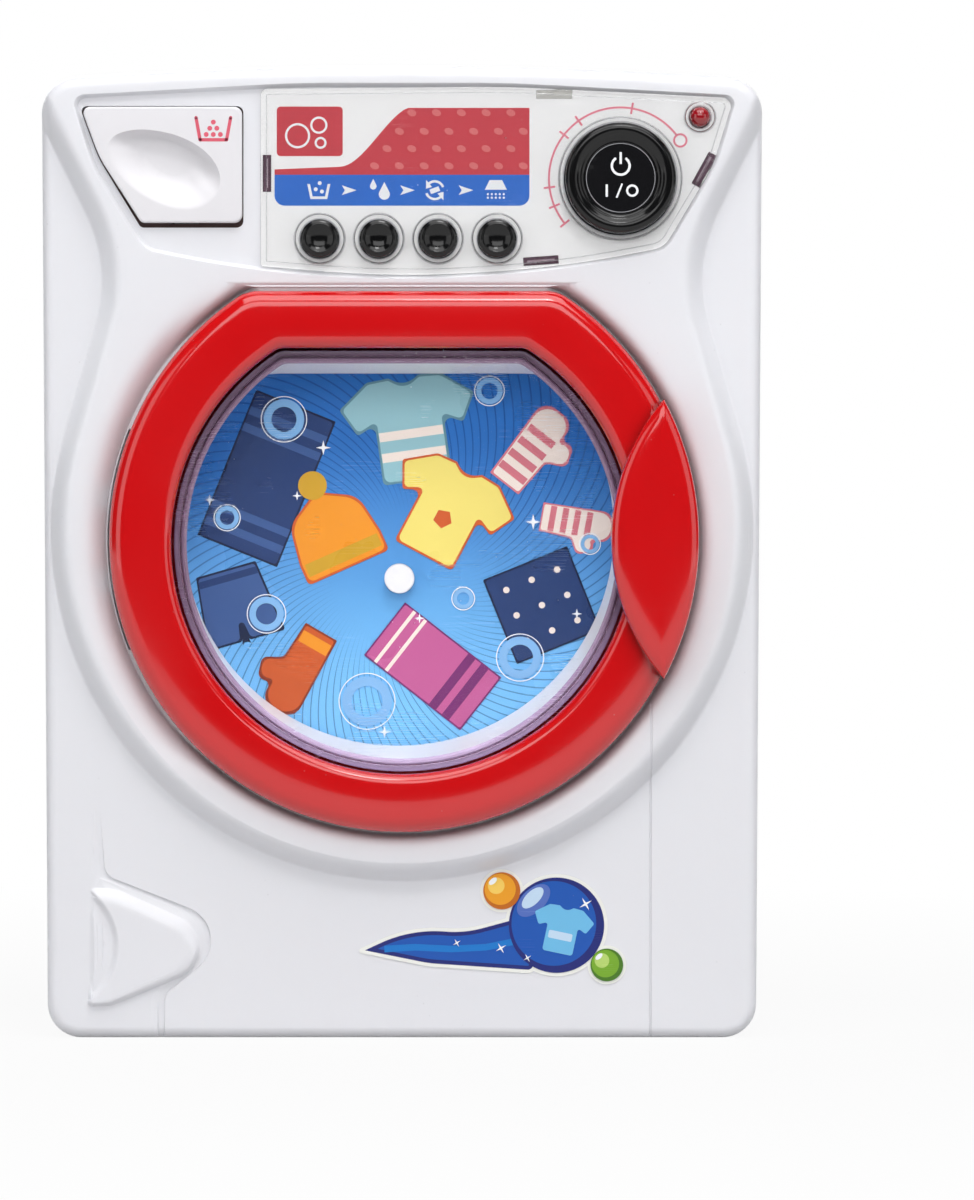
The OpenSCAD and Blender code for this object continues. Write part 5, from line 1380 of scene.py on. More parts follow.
rim_side = np.hypot(leaf(0)[:, 0], leaf(0)[:, 1] - DOOR_Z)
handle_foot = np.where(rim_side > 62.5, -4.9, -9.15 + 4.25 * smooth((rim_side - 59) / 3.5))
handle_rows = [(leaf(0), handle_foot), (leaf(0), np.maximum(handle_foot - 1, -9.6))]
for i in LEAF_RINGS:
    t = 1 - i / LEAF_RINGS[-1]
    handle_rows.append((leaf(i), HANDLE_FRONT + HANDLE_EDGE * (1 - (1 - t ** 3) ** (1 / 3))))
handle = piece("red_handle", *lofted(handle_rows), "door", "door_red", sharp=50)
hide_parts("door_handle")
print("handle faces:", len(handle.data.polygons))

# %% [markdown]
# ## Window
# The window is one clear cap with a flange behind the ring, a rounded rim and a face that is all
# but flat. Each row of its profile says how far forward it stands and how much smaller than the
# opening it is. A lip goes round it, painted with the light and shade that a clear edge shows:
# lit lavender at its foot, shaded purple above.

# %% Window and lip
WINDOW_T, FLANGE_Y, CAP = 1.2, -4.3, 4.72  # thickness, back of the rim, height of the face
window_profile = [[0, -0.5], [1.2, -0.65], [2.2, -0.95], [2.75, -1.5], [3.1, -2.4], [3.4, -3.8],
                  [3.7, -6.5], [4.05, -12], [4.5, -22], [4.7, -34]]
window_rows = ([(opening_outline(1.8), FLANGE_Y + WINDOW_T), (opening_outline(1.8), FLANGE_Y)]
               + [(opening_outline(g), FLANGE_Y - p) for p, g in window_profile])
inside_rows = [(opening_outline(g - WINDOW_T), FLANGE_Y - p + WINDOW_T)
               for p, g in window_profile][::-1]
points, faces = lofted(window_rows + inside_rows + [(opening_outline(-1.0), FLANGE_Y + WINDOW_T)],
                       caps=False)
n_ring = len(opening_outline(0))
face_row, inner_row = len(window_rows) - 1, len(window_rows)
faces = [f for f in faces if (f[0] // n_ring, f[2] // n_ring) != (face_row, inner_row)]
middle = [[0, FLANGE_Y - CAP, OPENING_Z], [0, FLANGE_Y - CAP + WINDOW_T, OPENING_Z]]
around = np.arange(n_ring)
faces += [*fan(len(points), around + face_row * n_ring),
          *fan(len(points) + 1, around + inner_row * n_ring)[:, ::-1]]
points = np.vstack([points, middle])
window = piece("clear_dome", points, faces, "door", "clear_window", sharp=40)
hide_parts("door_window")
LIP = [(1.4, -3.02), (1.4, -2.7), (-3.3, -2.7), (-3.3, -3.1), (-2.7, -3.5), (-2.1, -3.5),
       (-1.85, -3.02)]  # how much larger than the opening, and depth
lip = lofted([(opening_outline(g), y) for g, y in LIP], caps=False)
piece("window_lip", *lip, "door", "clear_window", look="lip")
print("window faces:", len(window.data.polygons))

# %% [markdown]
# ## The tub
# Behind the opening a white tub narrows towards the printed disc. It is a sleeve with a flange
# that is screwed to posts of the front casing, cut out where the catch of the door sits.

# %% Tub
TUB_FRONT, TUB_END, TUB_WALL, FLANGE = 1.2, 13.0, 1.8, 5.0
levels = np.linspace(0, 1, 7)
sleeve = lofted([(tub_outline(t, 0), TUB_FRONT + (TUB_END - TUB_FRONT) * t) for t in levels]
                + [(tub_outline(t, TUB_WALL), TUB_FRONT + (TUB_END - TUB_FRONT) * t)
                   for t in levels[::-1]], caps=False)
tub_posts = [at_angle((0, TUB_Z), 59, a) for a in (45, 135, 225, 315)]
flange_holes = [tub_outline(0.4, TUB_WALL - 0.4), box_outline(57, 108, 68, 118)] + [
    circle(p, 1.4, 20) for p in tub_posts]
plate, plate_cut = plate_of(flat_circle(62.5, 54, 4, TUB_Z), flange_holes)
tub_flange = skin(plate, plate_cut, np.full(len(plate), FLANGE), np.full(len(plate), FLANGE + 1.6))
tub = piece("tub", *shells([sleeve, tub_flange]), "casing", "white_inner")
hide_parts("tub_ring")
print("tub faces:", len(tub.data.polygons))

# %% [markdown]
# ## The printed disc
# The wash is a print on a disc that the motor turns: a blue swirl with clothes and bubbles on it.
# The swirl is a formula in the disc's material. With the angle t and the distance r from the hub,
# the fraction of (t - c r) N / 2 pi runs from 0 to 1 between one line and the next, N times round.

# %% The swirl
LINES, CURL = 110, 16.7  # N, and c for each metre


def swirl(tree, place):
    """Thin dark lines that wind out from the hub over a blue that pales downwards."""
    at = add(tree, "ShaderNodeSeparateXYZ", (), {0: place})
    dx = maths(tree, "SUBTRACT", at.outputs["X"], HUB[0] / 1000)
    dz = maths(tree, "SUBTRACT", at.outputs["Z"], HUB[1] / 1000)
    r = maths(tree, "SQRT", maths(tree, "ADD", maths(tree, "MULTIPLY", dx, dx),
                                  maths(tree, "MULTIPLY", dz, dz)))
    turn = maths(tree, "SUBTRACT", maths(tree, "ARCTAN2", dz, dx), maths(tree, "MULTIPLY", r, CURL))
    share = maths(tree, "FRACT", maths(tree, "MULTIPLY", turn, LINES / (2 * math.pi)))
    off_line = maths(tree, "ABSOLUTE", maths(tree, "SUBTRACT", share, 0.5))
    line = ramp(tree, off_line, 0.03, 0.12, 1, 0)
    line = maths(tree, "MULTIPLY", line, ramp(tree, r, 0.012, 0.03, 0.0, 0.75))
    height = maths(tree, "MULTIPLY_ADD", noise(tree, place, 22.0), 0.02, at.outputs["Z"])
    blue = blend(tree, ramp(tree, height, 0.078, 0.150), srgb(128, 200, 250), srgb(44, 112, 190))
    return blend(tree, line, blue, blend(tree, 0.75, blue, srgb(14, 50, 120)))


plastic("printed_disc", srgb(40, 110, 200), rough=0.24, ripple=0.01, print_on=swirl)
print("lines of the swirl:", LINES)

# %% [markdown]
# ## Flat prints
# A print has crisp edges at any distance, so each colour of it is a flat shape a few hundredths of
# a millimetre thick, and later layers stand a little prouder. All shapes of one colour on one
# surface become one piece.


# %% Shapes of ink
def prism(outline, y0, y1):
    """A flat plate: the outline at depth y0 and at y1, and a wall between."""
    n = len(outline)
    points = np.vstack(rings_at([(outline, y0), (outline, y1)]))
    return points, [tuple(range(n)), tuple(range(2 * n - 1, n - 1, -1)), *grid(2, n)]


def ink(look, colour, rough=0.3):
    """A printed colour: a film of ink with hardly any ripple."""
    plastic(look, colour, rough=rough, ripple=0.01, scratch=0.15)


class Print:
    """Flat prints on one surface, gathered by colour. Layer k stands k steps above face."""

    def __init__(self, face, body, slot, step=0.03):
        self.layers = 0
        self.face, self.body, self.slot, self.step, self.by_look = face, body, slot, step, {}

    def depths(self, layer):
        """A shape starts just inside the surface and ends at its layer."""
        return self.face + 0.01, self.face - self.step * layer

    def add(self, look, outline, layer=1):
        """Lays an outline in a colour."""
        self.by_look.setdefault(look, []).append(prism(outline, *self.depths(layer)))

    def ring(self, look, centre, r, width, layer=1, n=48):
        """Lays a ring of a radius and a line's width."""
        low, high = self.depths(layer)
        profile = [[r - width / 2, low], [r + width / 2, low], [r + width / 2, high],
                   [r - width / 2, high]]
        self.by_look.setdefault(look, []).append(turned(centre, profile, n))

    def finish(self, name):
        """Makes one piece of each colour."""
        for look, parts in self.by_look.items():
            piece(f"{name}_{look}".replace(" ", "_"), *shells(parts), self.body, self.slot,
                  look=look)


def sparkle(at, r, waist, turn=0):
    """A star of four tips: eight corners whose distance goes between r and waist * r."""
    k = np.arange(8)
    reach, t = np.where(k % 2 == 0, r, waist * r), np.radians(turn + 45 * k)
    return np.stack([reach * np.cos(t), reach * np.sin(t)], 1) + at


print("a sparkle has", len(sparkle((0, 0), 1, 0.3)), "corners")

# %% [markdown]
# ## The clothes
# Six simple outlines fill a drum, since each can be turned, sized and coloured anew. Each is laid
# over a slightly larger dark copy of itself and over those before it, so that where two meet, one
# covers the other.

# %% Inks and outlines
for look, colour in {
        "ink navy": (38, 62, 112), "ink dark": (22, 34, 66), "ink denim": (62, 92, 146),
        "ink teal": (150, 196, 204), "ink teal edge": (96, 142, 156), "ink pink": (214, 120, 132),
        "ink rose": (196, 96, 150), "ink cream": (244, 230, 218), "ink orange": (238, 150, 40),
        "ink rust": (206, 92, 42), "ink brown": (140, 54, 30), "ink yellow": (240, 222, 118),
        "ink gold": (206, 160, 46), "ink plum": (120, 46, 110), "ink foam": (134, 186, 232),
        "ink grey": (150, 150, 154), "ink white": (246, 248, 250)}.items():
    ink(look, srgb(*colour))

SHIRT = [[-5, -7.5, 1], [5, -7.5, 1], [5, 2, 0.6], [8, 0.6, 0.8], [10, 4.4, 0.8], [5.6, 7.8, 1.5],
         [2.4, 8, 0.3], [0, 6.4, 2.5], [-2.4, 8, 0.3], [-5.6, 7.8, 1.5], [-10, 4.4, 0.8],
         [-8, 0.6, 0.8], [-5, 2, 0.6]]
SHORTS = [[-6.6, -6, 0.8], [-0.9, -6, 0.8], [0, -0.6, 0.5], [0.9, -6, 0.8], [6.6, -6, 0.8],
          [5, 6, 0.6], [-5, 6, 0.6]]
MITTEN = [[-3, -7, 0.5], [3, -7, 0.5], [3.4, 0.4, 1], [6.8, 2.2, 1.6], [5.6, 5.8, 1.6],
          [3.2, 4.4, 0.6], [3, 9, 2.8], [-3.4, 9, 3]]
BEANIE = [[-6.4, -4.4, 1], [6.4, -4.4, 1], [6.4, -1.4, 0.8], [5.4, 4.6, 4], [0, 7.6, 3],
          [-5.4, 4.6, 4], [-6.4, -1.4, 0.8]]
TOWEL = [[-7, -13, 0.5], [7, -13, 0.5], [7, 13, 0.5], [-7, 13, 0.5]]
CLOTH = [[-8, -8, 0.6], [8, -8, 0.6], [8, 8, 0.6], [-8, 8, 0.6]]

print("inks of the wash are", sum(look.startswith("ink") for look in finish))

# %% [markdown]
# ## Laying out the wash
# The garments lie round the hub as they would tumble. Bubbles and sparkles come last, on top, and
# the disc itself is turned from a profile with a hole for its hub.

# %% The wash and the disc
DISC_Y, DISC_R, DISC_T, HUB_R = 13.4, 57.4, 0.2, 3.45
wash = Print(DISC_Y, "drum", "printed_disc", step=0.008)


def garment(corners, look, edge, at, turn, size=1.0, marks=()):
    """A piece of clothing with a dark outline; marks are (look, outline) pairs."""
    wash.layers += 3
    wash.add(edge, put(rounded(corners, -0.3, 8), at, turn, size), wash.layers)
    wash.add(look, put(rounded(corners, 0.05, 8), at, turn, size), wash.layers + 1)
    for mark_look, outline in marks:
        wash.add(mark_look, put(outline, at, turn, size), wash.layers + 2)


def bars(look, x, levels, height):
    """Stripes across a garment, from -x to x, with these lower edges."""
    return [(look, box_outline(-x, z, x, z + height, 2)) for z in levels]


CUFFS = (-5.4, -2.6, 0.2, 3.0)
garment(TOWEL, "ink navy", "ink dark", (-31, 127), -22, 1.35,
        bars("ink denim", 7, (-11, -8, 6, 9), 1.4))
garment(SHORTS, "ink denim", "ink dark", (-38, 98), 16, 1.35, bars("ink navy", 5.1, (4.2,), 1.2))
garment(SHIRT, "ink teal", "ink teal edge", (2, 138), 8, 1.5,
        bars("ink cream", 4.9, (-4.4, -1.2), 1.4))
for at, turn, size in (((29, 133), -38, 1.25), ((39, 117), -100, 1.0)):
    garment(MITTEN, "ink cream", "ink pink", at, turn, size, bars("ink pink", 2.9, CUFFS, 1.4))
garment(BEANIE, "ink orange", "ink rust", (-15, 113), 24, 1.5,
        bars("ink gold", 6, (-3.6,), 2.0) + [("ink gold", circle((0, 9), 2.2, 24))])
garment(SHIRT, "ink yellow", "ink rust", (10, 119), -28, 1.4,
        [("ink rust", circle((0, -1), 1.6, 5))])
garment(CLOTH, "ink navy", "ink dark", (32, 98), 22, 1.25,
        [("ink cream", circle((x, z), 0.6, 12)) for x in (-5, 0, 5) for z in (-5, 0, 5)])
garment(MITTEN, "ink rust", "ink brown", (-23, 84), 150, 1.25,
        bars("ink orange", 2.9, (-6,), 2.2))
garment(TOWEL, "ink rose", "ink plum", (7, 84), 52, 1.05,
        bars("ink plum", 7, (-10, -6.4), 2.0) + bars("ink cream", 7, (7, 10), 0.8))
wash.layers += 3
for x, z, r in ((-27, 140.5, 5.2), (-31, 96, 4.4), (27, 86, 5.4), (-8, 76, 6.4), (20, 147, 3.4),
                (-40, 118, 3), (43, 112, 2.4), (14, 99.5, 2.6)):
    wash.ring("ink white", (x, z), r, 0.22, wash.layers)
    wash.ring("ink foam", (x, z), r * 0.72, r * 0.34, wash.layers)
for x, z, r in ((-44, 122, 1.3), (-18, 134, 1.7), (30, 117, 1.8), (-24, 123, 1.1), (4, 95, 1.2),
                (-4, 69, 1.5), (40, 96, 1.2)):
    wash.add("ink white", sparkle((x, z), r, 0.28), wash.layers + 1)
wash.finish("wash")

disc_back, chamfer = DISC_Y + DISC_T, 0.04
disc = piece("swirl_disc", *turned(HUB, [
    [HUB_R, disc_back], [DISC_R, disc_back], [DISC_R, DISC_Y + chamfer], [DISC_R - 0.1, DISC_Y],
    [HUB_R, DISC_Y]], 120), "drum", "printed_disc")
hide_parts("disc_label")
print("prints on the disc:", len(wash.by_look), "colours")

# %% [markdown]
# ## The console's card
# Under the clear cover lies a card of white board. It is a flat plate with holes for the buttons,
# the switch, the lamp and the cover's prongs, and carries a label: a red field with rows of dots
# whose upper edge sweeps up to the right.

# %% Card and label
card_holes = console_holes(0.4, 0.5, 0.4) + tab_slots(0.2)
plastic("printed_card", srgb(250, 250, 250), rough=0.5, ripple=0.03, scratch=0.1)
flat, cut = plate_of(rounded(COVER, 0.3, 10), card_holes)
card = piece("card", *skin(flat, cut, np.full(len(flat), CARD_Y), np.full(len(flat), FLOOR_Y)),
             "casing", "printed_card")
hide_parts("console_card")

for look, colour in {"ink label": (206, 62, 74), "ink dots": (222, 116, 118),
                     "ink band": (38, 110, 208), "ink dial": (232, 132, 150)}.items():
    ink(look, srgb(*colour), 0.4)
label = Print(CARD_Y, "casing", "printed_card")
BAND = (-28.8, 188.4, 28.8, 195.4)  # the blue band below the label: x, z, x, z
LABEL_TOP, SWEEP = 210.5, (-14.0, 3.0)


def label_edge(x):
    """Top line of the label: low on the left, then a smooth sweep up to its full height."""
    share = smooth((x - SWEEP[0]) / (SWEEP[1] - SWEEP[0]))
    return 196.6 + 0.04 * (x - BAND[0]) + (LABEL_TOP - 197.4) * share


sweep_x = np.linspace(BAND[2], BAND[0], 60)
top_line = np.column_stack([sweep_x, np.minimum(label_edge(sweep_x), LABEL_TOP)])
label.add("ink label", np.vstack([[[BAND[0], BAND[3]], [BAND[2], BAND[3]]], top_line]), 1)
for row, z in enumerate((209.4, 205.2, 201.3, 197.4)):
    for k in range(12):
        x = BAND[0] + 3 + 5.6 * k + (2.8 if row % 2 else 0)
        low, high = (label_edge(x + dx) for dx in (-1.2, 0))
        if x < BAND[2] - 1 and z + 0.9 < min(low, high, LABEL_TOP):
            label.add("ink dots", put(circle((0, 0), 1, 24) * [1.05, 0.75], (x, z), -20), 2)
label.add("ink band", rounded([[BAND[0], BAND[1], 2.3], [BAND[2], BAND[1], 2.3],
                               [BAND[2], BAND[3], 0.1], [BAND[0], BAND[3], 0.1]], 0, 10), 1)
TITLE = [[-28.3, 199.6, 0.9], [-13.4, 199.6, 0.9], [-13.4, 210.8, 0.9], [-28.3, 210.8, 0.9]]
label.add("ink label", rounded(TITLE, 0, 8), 1)
for x, z, r in ((-23.6, 204.2, 2.6), (-18.8, 206.6, 1.7), (-18.4, 202.6, 1.1)):
    label.ring("ink white", (x, z), r, 0.5, 2)
print("card triangles:", len(cut), "colours on it:", len(label.by_look))

# %% [markdown]
# ## Signs and dial
# Signs stand for the steps of a wash: a tub, drops, two arrows that turn, a shower, with pointers
# between them. The dial is an arc round the switch with ticks across it and a small ring at its
# end.

# %% Signs and dial
SIGNS, SIGN_Z, ARROWS = (-18.8, -5.1, 7.4, 21.2), 191.9, (-12.0, 1.2, 14.4)
for x in ARROWS:
    label.add("ink white",
              np.array([[-1.6, -1.1], [1.7, 0], [-1.6, 1.1], [-0.9, 0]]) + (x, SIGN_Z), 2)


def drop(size):
    """A drop: a circle of radius size whose two tangents meet in a point above it."""
    return np.vstack([arc((0, 0), size, 150, 390, 24), [[0, 2.2 * size]]])


def bent_arrow(centre, r, a0, a1, width):
    """An arc that thickens into an arrowhead at its end."""
    past = a1 + math.copysign(40, a1 - a0)
    head = [at_angle(centre, q, a)
            for q, a in ((r + 1.9 * width, a1), (r - 1.9 * width, a1), (r, past))]
    return [ribbon(arc(centre, r, a0, a1, 20), width), np.array(head)]


sign = [put(np.array([[-2.6, 1.4], [-1.9, -2.0], [1.9, -2.0], [2.6, 1.4], [2.0, 1.4], [1.4, -1.4],
                      [-1.4, -1.4], [-2.0, 1.4]]), (SIGNS[0], SIGN_Z))]
sign += [circle((SIGNS[0] + dx, SIGN_Z + dz), 0.45, 14)
         for dx, dz in ((-0.7, 0.2), (0.7, -0.3), (0.2, 1.6))]
sign += [put(drop(0.75), (SIGNS[1] - 1.4, SIGN_Z + 0.9)),
         put(drop(1.25), (SIGNS[1] + 1.1, SIGN_Z - 0.9))]
for a in (20, 200):
    sign += bent_arrow((SIGNS[2], SIGN_Z), 2.0, a, a + 110, 0.55)
sign += [turned_box((SIGNS[2], SIGN_Z), (2.2, 1.1), 20)]
sign += [put(np.array([[-1.4, 2.3], [1.4, 2.3], [2.5, 0.1], [-2.5, 0.1]]), (SIGNS[3], SIGN_Z))]
sign += [circle((SIGNS[3] + 0.9 * (k - 2), SIGN_Z - 0.9 - 0.8 * row), 0.26, 10)
         for k in range(5) for row in range(2)]
for outline in sign:
    label.add("ink white", outline, 2)
DIAL_R, DIAL_W, DIAL_TICKS, DIAL_END = 16.1, 0.45, (80.5, 125.7, 142, 187, 202.6, 219), 32.4867
label.add("ink dial", ribbon(arc(POWER, DIAL_R, 38, 219, 120), DIAL_W), 1)
for a in DIAL_TICKS:
    label.add("ink dial", turned_box(at_angle(POWER, DIAL_R, a), (2.6, DIAL_W), a), 2)
label.ring("ink dial", at_angle(POWER, DIAL_R, DIAL_END), 1.4, DIAL_W)
label.finish("label")
print("shapes of the signs:", len(sign), "ticks:", len(DIAL_TICKS))

# %% [markdown]
# ## The clear cover
# The cover is one thin clear plate with a raised lip, a collar round each opening and four pairs
# of prongs that hold it in slots. It is cut as the casing is. The slots round the clear prongs lie
# in shade, so each pair is covered by a small plate painted in that dusky shade, with a paler bar
# across it as a painted highlight; the top slot's plate is painted pale, as lit, with no bar.

# %% Cover and prongs
cover_rim = rounded(COVER, 0.25, 14)
cover_holes = console_holes(0.3, 0.35, 0.3)
LIP_H = 0.5
COLLARS = ([(b, BUTTON_R + 1.6, 0.8) for b in BUTTONS]
           + [(POWER, POWER_R + 1.6, 1.0), (LAMP, LAMP_R + 1.4, 0.6)])


def cover_depth(p):
    """Depth of the cover: a rounded rim and a collar round each opening."""
    rim = inside_by(p, cover_rim)
    y = COVER_Y + roll(rim, 0.4) + LIP_H * smooth((rim - 1.2) / 0.3)
    for centre, r, height in COLLARS:
        away = r - np.hypot(*(p - centre).T)
        y = y - (height + LIP_H) * smooth(away / 0.5)
    return np.maximum(y, COVER_Y - 1)


cover_lines = [rounded(COVER, 0.25 + i, 14) for i in (0.05, 0.15, 0.4, 1.2, 1.3, 1.4, 1.5)]
for centre, r, height in COLLARS:
    cover_lines += [circle(centre, r - i, 64) for i in (0, 0.17, 0.33, 0.5)]
cover_back = CARD_Y - 0.2
flat, cut = plate_of(cover_rim, cover_holes, cover_lines)
cover_shells = [skin(flat, cut, cover_depth(flat), np.full(len(flat), cover_back))]
for x, z, a, length in TABS:
    side = np.array([-math.sin(math.radians(a)), math.cos(math.radians(a))]) * 0.4
    cover_shells += [prism(turned_box(np.array([x, z]) + s * side * 1.6, (length - 0.2, 0.3), a),
                           cover_back - 0.02, -0.1) for s in (-1, 1)]
cover = piece("cover", *shells(cover_shells), "casing", "clear_cover")
# Each slot gets a plate of painted shade with a paler bar as a painted highlight; the top slot's
# plate is painted pale, as lit.
for k, (x, z, a, length) in enumerate(TABS, 1):
    hook = prism(turned_box((x, z), (length + 0.1, 1.8), a), cover_back + 0.08, -0.3)
    upper = a == 180  # the slot at the top shows pale, without a bar
    piece(f"tab_hook_{k}", *hook, "casing", "clear_cover", look="tab_painted_light" if upper else "tab_painted_shade")
    if not upper:
        bar = prism(turned_box((x, z), (length - 1.6, 0.5), a), cover_back + 0.04, cover_back + 0.1)
        piece(f"tab_bar_{k}", *bar, "casing", "clear_cover", look="tab_bar")
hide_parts("console_cover")
print("cover corners:", len(flat))

# %% [markdown]
# ## Buttons, switch and lamp
# Each is a turned shape, so its profile says everything. A button has a dished cap, and a flange
# below the console keeps it from falling out.

# %% Four buttons
BUTTON_PROFILE = [[0, -6.25], [0.8, -6.3], [1.5, -6.42], [2.1, -6.62], [2.6, -6.86], [3.0, -7.12],
                  [3.2, -7.2], [3.4, -7.15], [3.55, -6.95], [3.7, -6.85], [3.95, -6.8],
                  [4.15, -6.65], [4.27, -6.4], [4.3, -6.0], [4.3, -1.4], [5.4, -1.4], [5.4, -0.4],
                  [2, -0.4], [2, 3], [0, 3]]
for k, place in enumerate(BUTTONS, 1):
    button = piece(f"button_{k}", *turned(place, BUTTON_PROFILE, 64), f"button_{k}", "button_black",
                   sharp=50)
    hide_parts(f"program_button_{k}")
print("buttons:", len(BUTTONS), "travel in holes of radius", BUTTON_R + 0.3, "mm")

# %% [markdown]
# ## The switch
# Its flat face is a printed disc with the common sign for power, an open ring with a line through
# the gap, and the marks for on and off below it.

# %% Switch and its face
POWER_PROFILE = [[0, -7.1], [8.2, -7.1], [8.3, -7.35], [8.42, -7.55], [9.0, -7.68], [9.45, -7.78],
                 [9.75, -8.15], [10.2, -8.45], [10.8, -8.6], [11.4, -8.56], [11.9, -8.4],
                 [12.3, -8.0], [12.47, -7.5], [12.5, -7.0], [12.5, -1.4], [13.5, -1.4],
                 [13.5, -0.3], [3, -0.3], [3, 3], [0, 3]]
switch = piece("switch", *turned(POWER, POWER_PROFILE, 120), "power", "button_black", sharp=50)
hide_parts("power_button")
plastic("power_print", srgb(20, 20, 22), rough=0.12, scratch=0.8, gloss=0.35)
FACE_Y = -7.3
face = piece("switch_face", *turned(POWER, [[0, FACE_Y], [8.0, FACE_Y], [8.12, -7.25], [8.12, -7.1],
                                            [0, -7.1]], 96), "power", "power_print", sharp=50)
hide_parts("power_sticker")
mark = Print(FACE_Y, "power", "power_print")
mark.ring("ink grey", POWER, 7.75, 0.16, 1, 96)
sign_z = POWER[1] + 2.7
mark.add("ink white", ribbon(arc((POWER[0], sign_z), 2.0, 122, 418, 40), 0.55))
mark.add("ink white", box_outline(POWER[0] - 0.27, sign_z + 0.4, POWER[0] + 0.27, sign_z + 3.1, 2))
mark.add("ink white",
         box_outline(POWER[0] - 3.4, POWER[1] - 4.3, POWER[0] - 2.9, POWER[1] - 1.5, 2))
mark.ring("ink white", (POWER[0] + 2.6, POWER[1] - 2.9), 1.15, 0.5)
mark.add("ink white", turned_box((POWER[0] - 0.3, POWER[1] - 2.9), (3.4, 0.4), 68))
mark.finish("switch_mark")
print("switch faces:", len(switch.data.polygons))

# %% [markdown]
# ## The lamp
# A small red lamp stands in the corner of the console: a dome with a flange, on two wire legs.

# %% Lamp
LAMP_PROFILE = [[0, -6.6], [0.5, -6.56], [1.0, -6.42], [1.5, -6.12], [1.9, -5.7], [2.15, -5.2],
                [2.3, -4.6], [2.3, -1.4], [2.8, -1.4], [2.8, -0.4], [0, -0.4]]
lamp_legs = [turned((LAMP[0] + dx, LAMP[1]), [[0, -0.5], [0.25, -0.5], [0.25, 8], [0, 8]], 12)
             for dx in (-1.27, 1.27)]
lamp = piece("lamp", *shells([turned(LAMP, LAMP_PROFILE, 48), *lamp_legs]), "casing", "lamp_red",
             sharp=50)
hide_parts("indicator_lamp")
print("lamp faces:", len(lamp.data.polygons))

# %% [markdown]
# ## Drawer
# The drawer's face carries a scoop for a finger. Its contours are eggs that shrink and drift
# upwards: the egg of size s has its middle (1 - s) k above the first, so they crowd together at
# the top, where the scoop is steep, and spread out below, where it fades. The size of the egg
# through any place is found by repeating s = gauge(place - middle(s)), which settles because the
# drift is slower than the shrinking.

# %% The scooped face
DRAWER_Y, SCOOP_D, DRIFT = -5.2, 3.9, 0.42
EGG, EGG_L, EGG_W = (-53.95, 196.9), 13.6, 7.9  # middle and half axes of the largest egg
EGG_TURN = math.radians(-24)
BLUNT = 0.14  # how much wider its right end is
EGGS = (1, 0.985, 0.96, 0.93, 0.89, 0.84, 0.78, 0.71, 0.63, 0.54, 0.45, 0.36, 0.24, 0.12)
egg_long = np.array([math.cos(EGG_TURN), math.sin(EGG_TURN)])
egg_up = np.array([-egg_long[1], egg_long[0]])


def egg(s, n=64):
    """The egg of size s: (L s cos t, W s sin t (1 + BLUNT cos t)), moved up and turned."""
    t = np.linspace(0, 2 * np.pi, n, endpoint=False)
    u, w = EGG_L * s * np.cos(t), EGG_W * s * np.sin(t) * (1 + BLUNT * np.cos(t))
    return EGG + u[:, None] * egg_long + (w + (1 - s) * DRIFT * EGG_W)[:, None] * egg_up


def egg_size(p):
    """Size of the egg through each place, and how far up it lies, from -1 to 1."""
    d = p - np.array(EGG)
    u, w = d @ egg_long / EGG_L, d @ egg_up / EGG_W
    s = np.ones(len(p))
    for _ in range(60):
        height = w - (1 - s) * DRIFT
        width = 1 + BLUNT * u / np.maximum(np.hypot(u, height), 1e-6)
        s = np.hypot(u, height / width)
    return s, (w - (1 - s) * DRIFT) / np.maximum(s, 1e-6)


def drawer_depth(p):
    """Depth of the drawer's face: a rolled rim, and the scoop, which fades in over 0.62 of the
    eggs' sizes below and falls along a sine within 0.36 of them above."""
    s, up = egg_size(p)
    top = smooth((up + 0.3) / 0.9)
    deep = ((1 - top) * smooth((1 - s) / 0.62)
            + top * np.sin(np.clip((1 - s) / 0.36, 0, 1) * math.pi / 2))
    return DRAWER_Y + roll(inside_by(p, rounded(DRAWER, 0, 10)), 0.5) + SCOOP_D * deep


drawer_lines = [rounded(DRAWER, i, 10) for i in (0.05, 0.18, 0.5)] + [egg(s) for s in EGGS]
flat, cut = plate_of(rounded(DRAWER, 0, 10), [], drawer_lines)
face_y = drawer_depth(flat)
drawer_face = skin(flat, cut, face_y, np.maximum(face_y + 1.4, -3.4))
print("drawer corners:", len(flat), "deepest", round(float(face_y.max()), 2), "mm")

# %% [markdown]
# ## The drawer's tray
# Behind the face a tray slides in the casing: a collar, a U-shaped trough that is open above for
# the powder, an end wall, and a small stop below. The trough's shape is the face's own outline,
# drawn in and cut off at the top.

# %% Tray
tray_out, tray_in = rounded(DRAWER, 1.6, 6), rounded(DRAWER, 3.0, 6)
TRAY_FROM, TRAY_END, TRAY_TOP = 0.2, 24.3, 204.7


def below(outline, top):
    """The open line left of a counter-clockwise outline when all above z = top is taken off. Where
    an edge crosses z = top, it is cut at the share (top - z) / (z of its end - z)."""
    kept = []
    for a, b in zip(outline, np.roll(outline, -1, 0)):
        if a[1] <= top:
            kept.append((a, False))
        if (a[1] - top) * (b[1] - top) < 0:
            kept.append((a + (b - a) * (top - a[1]) / (b[1] - a[1]), a[1] > top))
    start = [came_down for _, came_down in kept].index(True)
    return np.array([q for q, _ in kept[start:] + kept[:start]])


